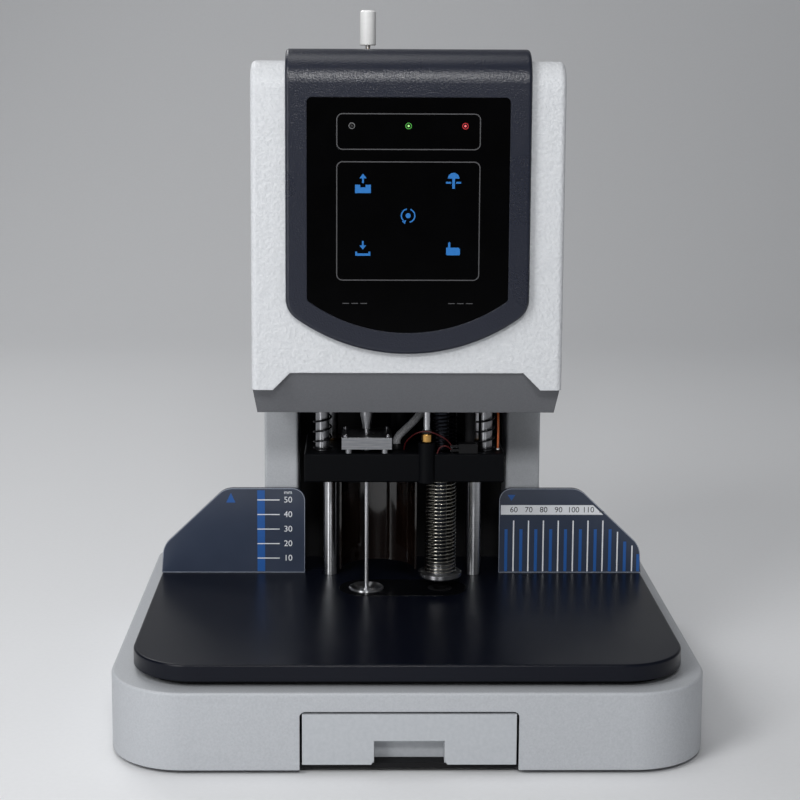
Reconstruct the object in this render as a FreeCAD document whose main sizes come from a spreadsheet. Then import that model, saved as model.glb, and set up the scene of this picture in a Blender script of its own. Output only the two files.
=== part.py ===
"""Desk machine that drills a stack of paper and closes a plastic rivet tube through it.

Millimetres, +Z up, the operator stands at -Y. The origin is the middle of the footprint, on the
surface that the rubber feet stand on. Every driving dimension is a cell of the sheet "Sizes", and
every size and place in the document is bound to those cells.
"""
import FreeCAD, Part
import math
import operator
import os

import Sketcher

# Driving dimensions in millimetres. Each one becomes a cell with an alias.
DIMENSIONS = {
    # base and table
    "foot_height": 3.0,
    "foot_radius": 13.0,
    "foot_inset": 34.0,
    "base_width": 348.0,
    "base_depth": 300.0,
    "skirt_height": 45.5,
    "base_front_radius": 45.0,
    "base_rear_radius": 22.0,
    "shell_wall": 3.0,
    "shell_edge": 1.5,
    "floor_thickness": 3.0,
    "riser_height": 4.3,
    "riser_inset": 8.0,
    "table_width": 322.0,
    "table_depth": 286.0,
    "table_thickness": 9.7,
    "table_front_radius": 38.0,
    "table_rear_radius": 16.0,
    "table_edge_radius": 1.4,
    # scrap drawer
    "drawer_width": 121.6,
    "drawer_height": 29.8,
    "drawer_length": 172.0,
    "drawer_wall": 1.6,
    "drawer_gap": 1.4,
    "opening_corner": 3.2,
    "drawer_clearance": 0.3,
    "drawer_side_gap": 4.8,
    "drawer_rim_drop": 1.5,
    "notch_width": 40.0,
    "notch_height": 14.0,
    "notch_depth": 11.0,
    "notch_flare": 2.4,
    # tool line: needle on the left, drill on the right, guide rods at the paper stop
    "tool_line": 3.0,
    "tool_half_spacing": 24.0,
    "fence_line": 37.0,
    "rod_half_spacing": 47.8,
    "rod_radius": 5.0,
    "running_fit": 0.06,
    "free_clearance": 0.6,
    "insert_radius": 17.5,
    "insert_step": 0.2,
    "insert_gap": 0.2,
    "pad_radius": 8.0,
    "chip_hole_radius": 4.3,
    "die_radius": 11.4,
    "die_step": 1.1,
    "die_neck_radius": 8.0,
    "die_collar_rise": 2.0,
    "die_bevel": 0.6,
    "die_rim": 1.0,
    "die_dish_slope": 3.9,
    "die_dish_depth": 1.7,
    "die_nipple": 1.2,
    "heater_gap": 1.0,
    "seat_gap": 0.1,
    # steel frame
    "frame_gap": 148.0,
    "frame_thickness": 6.0,
    "frame_front": 48.0,
    "frame_rear_inset": 20.0,
    "crosshead_thickness": 7.5,
    "crosshead_front": -26.0,
    "crosshead_back": 75.0,
    "head_plate_rise": 43.5,
    "head_plate_thickness": 10.0,
    "head_plate_rear_gap": 20.0,
    "upper_plate_thickness": 6.0,
    "upper_plate_front": -40.0,
    # columns and covers
    "column_inner_half": 69.5,
    "column_outer_half": 92.1,
    "column_front": 41.0,
    "column_height": 124.0,
    "sheet": 2.0,
    "panel_line": 75.0,
    "rear_inset": 13.0,
    "vent_half_width": 35.0,
    "vent_height": 3.0,
    "vent_pitch": 8.0,
    "vent_drop": 20.0,
    "head_front": -53.0,
    "head_half_width": 94.5,
    "cover_wall": 2.2,
    "head_room": 14.6,
    "cover_bend": 16.0,
    "cover_edge": 3.5,
    "band_height": 17.5,
    "band_depth": 19.0,
    "facet_height": 10.6,
    "facet_depth": 8.5,
    "facet_lip": 2.4,
    "facet_top_half": 71.0,
    "facet_bottom_half": 81.5,
    "head_mouth_half": 66.0,
    "head_mouth_front": -16.0,
    "head_mouth_back": 56.0,
    # bezel and touch panel
    "bezel_half_width": 73.4,
    "bezel_proud": 6.0,
    "bezel_top_thickness": 7.1,
    "bezel_back": 45.0,
    "bezel_low": 40.5,
    "bezel_arc": 116.0,
    "bezel_bend": 20.0,
    "bezel_corner": 15.0,
    "bezel_edge": 2.2,
    "glass_half_width": 60.5,
    "glass_low": 53.6,
    "glass_arc": 102.7,
    "glass_top_margin": 28.5,
    "glass_corner": 3.0,
    "glass_thickness": 1.6,
    "glass_recess": 0.4,
    "glass_gap": 0.15,
    "light_gap": 0.05,
    "light_radius": 1.5,
    "light_drop": 16.9,
    "light_spacing": 33.7,
    "board_inset": 8.0,
    "board_thickness": 1.6,
    "board_rise": 11.4,
    "board_top_gap": 4.0,
    "board_post_length": 4.0,
    "board_post_radius": 2.5,
    "board_post_inset": 6.0,
    "board_chip_side": 18.0,
    "board_chip_height": 1.4,
    "board_plug_width": 24.0,
    "board_plug_depth": 7.4,
    "board_plug_height": 8.0,
    "needle_bush_wall": 3.0,
    "needle_bush_step": 0.3,
    # beam that carries the drill side, and what stands on it
    "beam_half_width": 64.0,
    "beam_front": -10.0,
    "beam_back": 52.0,
    "beam_gap": 73.5,
    "beam_height": 18.8,
    "beam_lift_height": 45.0,
    "beam_edge": 0.8,
    "bush_radius": 8.0,
    "boss_radius": 5.5,
    "boss_height": 7.2,
    "boss_x": 14.3,
    "boss_line": -8.0,
    "position_rod_radius": 2.25,
    "position_rod_length": 65.0,
    "boss_nut_radius": 3.6,
    "boss_nut_height": 6.0,
    "boss_nut_bevel": 0.7,
    "position_rod_seat": 5.0,
    "block_width": 32.0,
    "block_depth": 30.0,
    "block_height": 7.7,
    "block_rise": 3.1,
    "block_foot_radius": 2.2,
    "post_half_spacing": 52.5,
    "post_radius": 4.4,
    "post_length": 101.0,
    "post_seat": 6.0,
    "post_spring_radius": 5.6,
    "post_spring_wire": 0.6,
    "post_spring_turns": 13.0,
    "tower_radius": 10.0,
    "tower_bore": 7.0,
    "tower_height": 57.2,
    "tower_root": 2.0,
    "nut_height": 18.0,
    "nut_flange": 4.0,
    "nut_radius": 8.0,
    "lift_screw_radius": 6.0,
    "lift_screw_gap": 1.2,
    "lift_screw_bevel": 1.0,
    "thermostat_length": 12.0,
    "thermostat_depth": 6.5,
    "thermostat_height": 6.0,
    "blade_length": 5.0,
    "blade_root": 1.0,
    "blade_thickness": 0.8,
    "blade_width": 1.6,
    "blade_rise": 1.0,
    "blade_pitch": 2.6,
    # drill
    "drill_radius": 4.0,
    "drill_bore": 2.8,
    "drill_shank": 24.0,
    "drill_closed_end": 6.0,
    "drill_edge_height": 2.0,
    "drill_land": 0.3,
    "drill_protrusion": 0.5,
    "spindle_radius": 5.0,
    "spindle_nose": 2.0,
    "spindle_top": 88.2,
    "spindle_web": 6.0,
    "spindle_collar": 1.2,
    "spindle_collar_height": 3.0,
    "drive_shaft_radius": 3.5,
    "drive_engagement": 14.0,
    "drive_seat": 6.0,
    "bearing_radius": 10.5,
    "bearing_width": 5.0,
    "bridge_rise": 31.2,
    "bridge_height": 14.0,
    "bridge_wall": 1.4,
    "bridge_arm": 12.0,
    "pillar_radius": 3.2,
    "pillar_reach": 18.5,
    "foot_gap": 8.4,
    "foot_flange_radius": 14.0,
    "foot_flange_height": 3.0,
    "foot_hub_radius": 8.5,
    "foot_hub_height": 6.5,
    "foot_bevel": 0.8,
    "strip_spring_radius": 9.7,
    "strip_spring_wire": 0.55,
    "strip_spring_turns": 47.0,
    "shield_radius": 25.0,
    "shield_offset": 7.6,
    "shield_wall": 1.2,
    "shield_gap": 12.5,
    # rivet ram and guide needle
    "ram_radius": 4.2,
    "ram_bore": 2.0,
    "ram_nose_radius": 2.8,
    "ram_nose_length": 9.0,
    "ram_nose_land": 1.5,
    "ram_gap": 106.2,
    "ram_length": 180.0,
    "ram_top_gap": 7.3,
    "ram_screw_x": -50.0,
    "ram_screw_line": 24.0,
    "ram_screw_radius": 5.0,
    "ram_screw_gap": 0.5,
    "crosshead_plate": 10.0,
    "crosshead_boss": 9.0,
    "crosshead_web": 5.4,
    "small_bearing_radius": 7.0,
    "journal_radius": 3.0,
    "journal_reach": 4.0,
    "needle_radius": 1.5,
    "needle_depth": 4.5,
    "needle_tip": 3.0,
    "needle_tip_radius": 0.6,
    "knob_radius": 5.0,
    "knob_height": 21.6,
    "knob_socket": 8.0,
    "knob_edge": 1.0,
    "knob_gap": 2.8,
    # motors
    "lift_motor_radius": 18.0,
    "lift_motor_length": 56.0,
    "drill_motor_radius": 19.5,
    "drill_motor_length": 64.0,
    "ram_motor_side": 42.0,
    "ram_motor_height": 26.0,
    "ram_motor_corner": 4.0,
    "motor_bore_depth": 8.0,
    "coupling_radius": 9.0,
    "coupling_length": 16.0,
    "coupling_gap": 2.0,
    "coupling_journal": 6.0,
    # guards
    "guard_inner": 65.0,
    "guard_outer": 161.0,
    "guard_height": 58.0,
    "guard_thickness": 3.0,
    "guard_slope_x": 118.5,
    "guard_slope_end": 160.0,
    "guard_side_height": 18.5,
    "guard_corner": 8.0,
    "guard_slope_radius": 14.0,
    "bracket_width": 14.0,
    "bracket_height": 24.0,
    "bracket_foot": 16.0,
    "bracket_screw_line": 9.6,
    # electrics in the base
    "supply_width": 120.0,
    "supply_height": 33.0,
    "supply_depth": 58.0,
    "supply_rear_gap": 4.0,
    "inlet_x": 100.0,
    "inlet_width": 28.0,
    "inlet_height": 20.0,
    "inlet_depth": 22.0,
    "inlet_wall": 2.0,
    "inlet_floor": 4.0,
    "pin_half_thickness": 1.0,
    "pin_half_height": 2.0,
    "pin_spacing": 7.0,
    "pin_step": 1.5,
    "pin_recess": 5.0,
    "rocker_x": 131.0,
    "rocker_width": 18.0,
    "rocker_height": 12.0,
    "rocker_pivot_depth": 5.0,
    "rocker_root_half": 3.0,
    "rocker_flank": 1.0,
    "rocker_pressed": 0.6,
    "rocker_middle": 1.9,
    "rocker_raised": 2.4,
    "inlet_centre": 25.0,
    "sensor_half_width": 6.0,
    "sensor_height": 8.0,
    "sensor_margin": 2.0,
    "screw_head_radius": 3.0,
    "screw_head_height": 1.8,
    "rear_screw_inset": 6.0,
    "rear_screw_margin": 12.0,
}

VENT_ROWS = 8

# How far a cutter runs past the face that it opens, and how near an edge is to a place that names it.
OVER = 1.0
TOUCH = 0.02

OPERATIONS = {"+": operator.add, "-": operator.sub, "*": operator.mul, "/": operator.truediv}

doc = FreeCAD.newDocument("riveting_machine")
sheet = doc.addObject("Spreadsheet::Sheet", "Sizes")
nodes = []


class Size:
    """A length with the formula that gives it from the cells of the sheet."""

    def __init__(self, value, formula):
        self.value = value
        self.formula = formula

    def __add__(self, other):
        return combine(self, "+", other)

    def __radd__(self, other):
        return combine(other, "+", self)

    def __sub__(self, other):
        return combine(self, "-", other)

    def __rsub__(self, other):
        return combine(other, "-", self)

    def __mul__(self, other):
        return combine(self, "*", other)

    def __rmul__(self, other):
        return combine(other, "*", self)

    def __truediv__(self, other):
        return combine(self, "/", other)

    def __neg__(self):
        return combine(0, "-", self)


def as_size(value):
    return value if isinstance(value, Size) else Size(float(value), f"({float(value)})")


def combine(left, sign, right):
    left, right = as_size(left), as_size(right)
    value = OPERATIONS[sign](left.value, right.value)
    return Size(value, f"({left.formula} {sign} {right.formula})")


def root(square):
    return Size(math.sqrt(square.value), f"sqrt({square.formula})")


class Cells:
    """The cells of the sheet, one attribute each."""


def fill_sheet():
    cells = Cells()
    for row, (alias, value) in enumerate(DIMENSIONS.items(), start=1):
        sheet.set(f"A{row}", alias)
        sheet.set(f"B{row}", str(value))
        sheet.setAlias(f"B{row}", alias)
        setattr(cells, alias, Size(value, f"Sizes.{alias}"))
    doc.recompute()
    return cells


def bind(thing, path, value):
    thing.setExpression(path, as_size(value).formula)


def place(thing, x, y, z):
    for axis, value in zip("xyz", (x, y, z)):
        bind(thing, f"Placement.Base.{axis}", value)


def labelled(kind, label):
    thing = doc.addObject(kind, label)
    thing.Label = label
    return thing


# Primitives. A span is a pair (from, to); "at" is the place of an axis.

def box(label, x, y, z):
    block = labelled("Part::Box", label)
    for side, span in zip(("Length", "Width", "Height"), (x, y, z)):
        bind(block, side, span[1] - as_size(span[0]))
    place(block, x[0], y[0], z[0])
    return block


def cylinder(label, radius, at, z):
    """A cylinder along Z at (x, y)."""
    column = labelled("Part::Cylinder", label)
    bind(column, "Radius", radius)
    bind(column, "Height", z[1] - as_size(z[0]))
    place(column, at[0], at[1], z[0])
    return column


def bar(label, radius, at, y):
    """A cylinder along Y at (x, z)."""
    column = labelled("Part::Cylinder", label)
    bind(column, "Radius", radius)
    bind(column, "Height", y[1] - as_size(y[0]))
    column.Placement = FreeCAD.Placement(FreeCAD.Vector(), FreeCAD.Rotation(FreeCAD.Vector(1, 0, 0), -90))
    place(column, at[0], y[0], at[1])
    return column


def fuse(label, parts):
    joined = labelled("Part::MultiFuse", label)
    joined.Shapes = parts
    joined.Refine = True
    return joined


def cut(label, base, tools):
    result = labelled("Part::Cut", label)
    result.Base = base
    result.Tool = tools[0] if len(tools) == 1 else fuse(f"{label}_cutters", tools)
    return result


def common(label, first, second):
    result = labelled("Part::Common", label)
    result.Base = first
    result.Tool = second
    return result


def group(label, parts):
    """Separate solids under one name."""
    bundle = labelled("Part::Compound", label)
    bundle.Links = parts
    return bundle


def tube(label, outer, inner, at, z):
    return cut(label, cylinder(f"{label}_outside", outer, at, z), [cylinder(f"{label}_bore", inner, at, z)])


def past(span):
    """The span of a cutter that goes right through: a little longer at both ends."""
    return (span[0] - OVER, span[1] + OVER)


def new_sketch(body, plane, offset):
    """A sketch on one of the body's own origin planes, moved along that plane's normal."""
    drawing = body.newObject("Sketcher::SketchObject", f"{body.Label}_outline")
    origin_plane = [item for item in body.Origin.OriginFeatures if item.Role == f"{plane}_Plane"][0]
    drawing.AttachmentSupport = [(origin_plane, "")]
    drawing.MapMode = "FlatFace"
    bind(drawing, "AttachmentOffset.Base.z", offset)
    return drawing


def arc_between(start, end, radius):
    """An arc from start to end, counter-clockwise, that bulges to the right of the way."""
    middle = (start + end) / 2
    way = end - start
    height = math.sqrt(max(radius ** 2 - (way.Length / 2) ** 2, 0.0))
    left = FreeCAD.Vector(-way.y, way.x, 0).normalize()
    centre = middle + left * height
    first = math.atan2(start.y - centre.y, start.x - centre.x)
    last = math.atan2(end.y - centre.y, end.x - centre.x)
    circle = Part.Circle(centre, FreeCAD.Vector(0, 0, 1), radius)
    return Part.ArcOfCircle(circle, first, last)


def draw(drawing, corners):
    """A closed outline, counter-clockwise. A corner is (x, y), or (x, y, radius) before an arc."""
    spots = [FreeCAD.Vector(as_size(corner[0]).value, as_size(corner[1]).value, 0) for corner in corners]
    count = len(corners)
    for index, corner in enumerate(corners):
        start, end = spots[index], spots[(index + 1) % count]
        if len(corner) == 3:
            drawing.addGeometry(arc_between(start, end, corner[2].value))
        else:
            drawing.addGeometry(Part.LineSegment(start, end))
    for index in range(count):
        drawing.addConstraint(Sketcher.Constraint("Coincident", index, 2, (index + 1) % count, 1))
    for index, corner in enumerate(corners):
        for kind, letter, value in zip(("DistanceX", "DistanceY"), "xy", corner):
            number = drawing.addConstraint(
                Sketcher.Constraint(kind, -1, 1, index, 1, as_size(value).value))
            drawing.renameConstraint(number, f"{letter}{index}")
            bind(drawing, f"Constraints.{letter}{index}", value)
        if len(corner) == 3:
            number = drawing.addConstraint(Sketcher.Constraint("Radius", index, corner[2].value))
            drawing.renameConstraint(number, f"radius{index}")
            bind(drawing, f"Constraints.radius{index}", corner[2])


def prism(label, plane, corners, span):
    """A body whose outline is drawn on a plane and padded over a span of the third axis."""
    body = labelled("PartDesign::Body", label)
    offset = -as_size(span[1]) if plane == "XZ" else span[0]
    drawing = new_sketch(body, plane, offset)
    draw(drawing, corners)
    pad = body.newObject("PartDesign::Pad", f"{label}_pad")
    pad.Profile = drawing
    bind(pad, "Length", span[1] - as_size(span[0]))
    doc.recompute()
    return body


def pocket_through(body, corners, half_width):
    """Cuts an outline in the middle YZ plane out of the body, to both sides."""
    drawing = new_sketch(body, "YZ", 0)
    draw(drawing, corners)
    pocket = body.newObject("PartDesign::Pocket", f"{body.Label}_pocket")
    pocket.Profile = drawing
    pocket.SideType = "Symmetric"
    bind(pocket, "Length", 2 * half_width)
    doc.recompute()


def turned(label, profile, at):
    """A body turned about a vertical axis; the profile is (radius, height) pairs."""
    body = labelled("PartDesign::Body", label)
    drawing = new_sketch(body, "XZ", 0)
    draw(drawing, profile)
    spin = body.newObject("PartDesign::Revolution", f"{label}_turn")
    spin.Profile = drawing
    spin.ReferenceAxis = (drawing, ["V_Axis"])
    spin.Angle = 360
    place(body, at[0], at[1], 0)
    doc.recompute()
    return body


def dress(body, kind, size, wanted):
    """A fillet or chamfer on the edges of the body's last feature that wanted() picks."""
    base = body.Tip
    names = [f"Edge{number}" for number, edge in enumerate(base.Shape.Edges, start=1) if wanted(edge)]
    feature = body.newObject(f"PartDesign::{kind}", f"{body.Label}_{kind.lower()}{len(body.Group)}")
    feature.Base = (base, names)
    bind(feature, "Radius" if kind == "Fillet" else "Size", size)
    doc.recompute()
    return body


def direction(edge):
    start, end = edge.Vertexes[0].Point, edge.Vertexes[-1].Point
    way = end - start
    return way.normalize() if way.Length > 0 else way


def along(edge, axis):
    """True if the edge is a straight line along the axis named by a letter."""
    return edge.Curve.TypeId == "Part::GeomLine" and abs(getattr(direction(edge), axis)) > 0.999


def near(edge, **places):
    """True if the middle of the edge is at the given coordinates."""
    centre = edge.BoundBox.Center
    return all(abs(getattr(centre, axis) - as_size(value).value) < TOUCH for axis, value in places.items())


def rectangle(x, y):
    return [(x[0], y[0]), (x[1], y[0]), (x[1], y[1]), (x[0], y[1])]


def rounded_block(label, x, y, z, front_radius, rear_radius):
    """A block with round vertical edges, of one radius in front and one behind."""
    block = prism(label, "XY", rectangle(x, y), z)
    dress(block, "Fillet", front_radius, lambda edge: along(edge, "z") and near(edge, y=y[0]))
    dress(block, "Fillet", rear_radius, lambda edge: along(edge, "z") and near(edge, y=y[1]))
    return block


def spring(label, radius, wire, turns, at, z):
    """A coil spring: a helix swept with the wire's section."""
    coil = labelled("Part::Helix", f"{label}_path")
    bind(coil, "Radius", radius)
    height = z[1] - as_size(z[0]) - 2 * wire
    bind(coil, "Height", height)
    bind(coil, "Pitch", height / turns)
    coil.Style = "New style"
    section = labelled("Part::Circle", f"{label}_wire")
    bind(section, "Radius", wire)
    section.Placement = FreeCAD.Placement(FreeCAD.Vector(), FreeCAD.Rotation(FreeCAD.Vector(1, 0, 0), 90))
    bind(section, "Placement.Base.x", radius)
    sweep = labelled("Part::Sweep", label)
    sweep.Sections = [section]
    sweep.Spine = (coil, ["Edge1"])
    sweep.Solid = True
    sweep.Frenet = True
    place(sweep, at[0], at[1], z[0] + wire)
    return sweep


def node(thing):
    """Marks a finished sub-part, which is written under its label."""
    nodes.append(thing)
    return thing


s = fill_sheet()

# Heights and lines that follow from the driving dimensions.
base_half = s.base_width / 2
base_front = -s.base_depth / 2
base_rear = s.base_depth / 2
shell_top = s.foot_height + s.skirt_height
shell_ceiling = shell_top - s.shell_wall
floor_top = s.foot_height + s.floor_thickness
riser_top = shell_top + s.riser_height
table_top = riser_top + s.table_thickness
table_half = s.table_width / 2
table_front = -s.table_depth / 2
table_rear = s.table_depth / 2
head_bottom = table_top + s.column_height
skirt_line = head_bottom + s.band_height
facet_top = skirt_line + s.facet_height
beam_bottom = table_top + s.beam_gap
beam_top = beam_bottom + s.beam_height
head_plate_bottom = head_bottom + s.head_plate_rise
head_plate_top = head_plate_bottom + s.head_plate_thickness
ram_low = table_top + s.ram_gap
ram_high = ram_low + s.ram_length
upper_plate_bottom = ram_high + s.ram_top_gap
upper_plate_top = upper_plate_bottom + s.upper_plate_thickness
head_top = upper_plate_top + s.ram_motor_height + s.head_room
frame_back = base_rear - s.frame_rear_inset
rear_line = base_rear - s.rear_inset
frame_half = s.frame_gap / 2
bridge_bottom = beam_top + s.bridge_rise
bridge_top = bridge_bottom + s.bridge_height
bezel_face = s.head_front - s.bezel_proud
bezel_top = head_top + s.bezel_top_thickness
needle_at = (-s.tool_half_spacing, s.tool_line)
drill_at = (s.tool_half_spacing, s.tool_line)
ram_screw_at = (s.ram_screw_x, s.ram_screw_line)
lift_screw_at = (0, s.fence_line)
sides = {"left": -1, "right": 1}


def mirrored_span(side, inner, outer):
    """The span from inner to outer on the right, or its mirror image on the left."""
    return (inner, outer) if side > 0 else (-outer, -inner)


def rod_at(side):
    return (side * s.rod_half_spacing, s.fence_line)


def rod_holes(label, z):
    """Free holes around the two guide rods."""
    radius = s.rod_radius + s.free_clearance
    return [cylinder(f"{label}_{name}_rod_hole", radius, rod_at(side), z) for name, side in sides.items()]


def frame_slots(label, z):
    """Free slots around the two side frames."""
    gap = s.free_clearance
    slots = []
    for name, side in sides.items():
        x = mirrored_span(side, frame_half - gap, frame_half + s.frame_thickness + gap)
        slots.append(box(f"{label}_{name}_slot", x, (s.frame_front - gap, frame_back + gap), z))
    return slots


def tool_holes(label, z):
    """Holes under the lower die and the drill pad."""
    return [cylinder(f"{label}_die_hole", s.die_radius + s.free_clearance, needle_at, z),
            cylinder(f"{label}_chip_hole", s.chip_hole_radius + s.free_clearance, drill_at, z)]


# Base: shell, floor plate, feet.

drawer_bottom = floor_top + s.drawer_clearance
drawer_top = drawer_bottom + s.drawer_height
drawer_half = s.drawer_width / 2


def base_shell():
    outside = rounded_block("shell_outside", (-base_half, base_half), (base_front, base_rear),
                            (s.foot_height, shell_top), s.base_front_radius, s.base_rear_radius)
    dress(outside, "Fillet", s.shell_edge, lambda edge: edge.BoundBox.ZMin > shell_top.value - TOUCH)
    wall = s.shell_wall
    inside = rounded_block("shell_inside", (-base_half + wall, base_half - wall),
                           (base_front + wall, base_rear - wall), (s.foot_height - OVER, shell_ceiling),
                           s.base_front_radius - wall, s.base_rear_radius - wall)
    opening_half, opening_top = drawer_half + s.drawer_gap, drawer_top + s.drawer_gap
    opening = prism("shell_drawer_opening", "XZ",
                    rectangle((-opening_half, opening_half), (s.foot_height - OVER, opening_top)),
                    (base_front - OVER, base_front + 2 * wall))
    dress(opening, "Fillet", s.opening_corner, lambda edge: along(edge, "y") and near(edge, z=opening_top))
    inlet = box("shell_inlet_opening", (s.inlet_x - s.inlet_width / 2, s.inlet_x + s.inlet_width / 2),
                (base_rear - 2 * wall, base_rear + OVER),
                (s.inlet_centre - s.inlet_height / 2, s.inlet_centre + s.inlet_height / 2))
    gap = s.free_clearance
    rocker = box("shell_rocker_opening",
                 (s.rocker_x - s.rocker_width / 2 - gap, s.rocker_x + s.rocker_width / 2 + gap),
                 (base_rear - 2 * wall, base_rear + OVER),
                 (s.inlet_centre - s.rocker_height / 2 - gap, s.inlet_centre + s.rocker_height / 2 + gap))
    through = past((shell_ceiling, shell_top))
    tools = [inside, opening, inlet, rocker] + rod_holes("shell", through) + frame_slots("shell", through)
    return cut("base_shell", outside, tools + tool_holes("shell", through))


def base_plate():
    inset = s.shell_wall + s.drawer_clearance
    return rounded_block("base_plate", (-base_half + inset, base_half - inset),
                         (base_front + inset, base_rear - inset), (s.foot_height, floor_top),
                         s.base_front_radius - inset, s.base_rear_radius - inset)


def rubber_feet():
    feet = []
    for name, side in sides.items():
        for end, y in (("front", base_front + s.foot_inset), ("rear", base_rear - s.foot_inset)):
            spot = (side * (base_half - s.foot_inset), y)
            feet.append(cylinder(f"{end}_{name}_foot", s.foot_radius, spot, (0, s.foot_height)))
    return group("rubber_feet", feet)


node(base_shell())
node(base_plate())
node(rubber_feet())


# Table: recessed riser, table plate, stadium insert, drill pad, lower die with its heater.

def table_riser():
    inset = s.riser_inset
    plate = rounded_block("riser_blank", (-table_half + inset, table_half - inset),
                          (table_front + inset, table_rear - inset), (shell_top, riser_top),
                          s.table_front_radius - inset, s.table_rear_radius - inset)
    through = past((shell_top, riser_top))
    tools = rod_holes("riser", through) + frame_slots("riser", through) + tool_holes("riser", through)
    return cut("table_riser", plate, tools)


def stadium(label, radius, z):
    """A plate with round ends centred on the needle and the drill."""
    ends = [cylinder(f"{label}_needle_end", radius, needle_at, z),
            cylinder(f"{label}_drill_end", radius, drill_at, z)]
    web = box(f"{label}_web", (needle_at[0], drill_at[0]), (s.tool_line - radius, s.tool_line + radius), z)
    return fuse(label, ends + [web])


def table_plate():
    plate = rounded_block("table_blank", (-table_half, table_half), (table_front, table_rear),
                          (riser_top, table_top), s.table_front_radius, s.table_rear_radius)
    dress(plate, "Fillet", s.table_edge_radius,
          lambda edge: edge.BoundBox.ZMin > table_top.value - TOUCH)
    through = past((riser_top, table_top))
    tools = rod_holes("table", through) + frame_slots("table", through)
    opening = stadium("table_opening", s.insert_radius + s.insert_gap, through)
    return cut("table_plate", plate, tools + [opening])


def table_insert():
    z = (riser_top, table_top + s.insert_step)
    bores = past(z)
    die_bore = cylinder("insert_die_bore", s.die_radius + s.seat_gap, needle_at, bores)
    pad_bore = cylinder("insert_pad_bore", s.pad_radius, drill_at, bores)
    return cut("table_insert", stadium("insert_blank", s.insert_radius, z), [die_bore, pad_bore])


def drill_pad():
    return tube("drill_pad", s.pad_radius, s.chip_hole_radius, drill_at,
                (riser_top, table_top + s.insert_step / 2))


def lower_rivet_die():
    """Dished die with a raised nipple that rolls the end of the rivet tube over."""
    top = table_top + s.die_step
    radius, neck, bevel = s.die_radius, s.die_neck_radius, s.die_bevel
    hole = s.needle_radius + s.running_fit
    needle_end = table_top - s.needle_depth
    collar = riser_top + s.die_collar_rise
    dish_floor = top - s.die_dish_depth
    rim = radius - bevel - s.die_rim
    nipple_top = dish_floor + s.die_rim
    profile = [(0, shell_ceiling), (neck, shell_ceiling), (neck, collar), (radius, collar),
               (radius, top - bevel), (radius - bevel, top), (rim, top),
               (rim - s.die_dish_slope, dish_floor), (hole + s.die_nipple + s.die_rim, dish_floor),
               (hole + s.die_nipple, nipple_top), (hole, nipple_top), (hole, needle_end), (0, needle_end)]
    return turned("lower_rivet_die", profile, needle_at)


def die_heater():
    return tube("die_heater", s.die_radius, s.die_neck_radius, needle_at,
                (shell_ceiling, riser_top - s.heater_gap))


node(table_riser())
node(table_plate())
node(table_insert())
node(drill_pad())
node(lower_rivet_die())
node(die_heater())


# Steel frame: crosshead under the table, side frames, guide rods, head plate and upper plate.

def plate_between_frames(label, y, z):
    return box(label, (-frame_half, frame_half), y, z)


def lower_crosshead():
    z = (shell_ceiling - s.crosshead_thickness, shell_ceiling)
    blank = plate_between_frames("crosshead_blank", (s.crosshead_front, s.crosshead_back), z)
    through = past(z)
    holes = [cylinder(f"crosshead_{name}_seat", s.rod_radius, rod_at(side), through)
             for name, side in sides.items()]
    chip = cylinder("crosshead_chip_hole", s.chip_hole_radius + 2 * s.free_clearance, drill_at, through)
    return cut("lower_crosshead", blank, holes + [chip])


def side_frames():
    frames = []
    for name, side in sides.items():
        x = mirrored_span(side, frame_half, frame_half + s.frame_thickness)
        frames.append(box(f"{name}_side_frame", x, (s.frame_front, frame_back),
                          (floor_top, upper_plate_top)))
    return group("side_frames", frames)


def guide_rods():
    z = (shell_ceiling - s.crosshead_thickness, head_plate_top)
    return group("guide_rods", [cylinder(f"{name}_guide_rod", s.rod_radius, rod_at(side), z)
                                for name, side in sides.items()])


def head_plate():
    z = (head_plate_bottom, head_plate_top)
    through = past(z)
    gap = s.free_clearance
    rear = frame_back - s.head_plate_rear_gap
    blank = plate_between_frames("head_plate_blank", (s.crosshead_front, rear), z)
    tools = []
    for name, side in sides.items():
        tools.append(cylinder(f"head_plate_{name}_rod_seat", s.rod_radius, rod_at(side), through))
        tools.append(cylinder(f"head_plate_{name}_post_hole", s.post_radius + gap,
                              (side * s.post_half_spacing, s.tool_line), through))
    tools.append(cylinder("head_plate_tower_hole", s.tower_radius + 1.5 * gap, lift_screw_at, through))
    tools.append(cylinder("head_plate_ram_seat", s.small_bearing_radius, needle_at, through))
    tools.append(cylinder("head_plate_screw_seat", s.small_bearing_radius, ram_screw_at, through))
    reach = s.pillar_reach + s.pillar_radius + 2 * gap
    left = s.boss_x - s.position_rod_radius - 2 * gap
    front = s.boss_line - s.position_rod_radius - 2 * gap
    tools.append(box("head_plate_bridge_mouth", (left, drill_at[0] + reach),
                     (front, drill_at[1] + reach), through))
    return cut("head_plate", blank, tools)


def upper_plate():
    z = (upper_plate_bottom, upper_plate_top)
    through = past(z)
    blank = plate_between_frames("upper_plate_blank", (s.upper_plate_front, frame_back), z)
    holes = [cylinder("upper_plate_needle_hole", s.needle_radius + s.free_clearance, needle_at, through),
             cylinder("upper_plate_screw_seat", s.small_bearing_radius, ram_screw_at, through)]
    return cut("upper_plate", blank, holes)


node(lower_crosshead())
node(side_frames())
node(guide_rods())
node(head_plate())
node(upper_plate())


# Covers of the columns, panel between them, rear cover.

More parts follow.
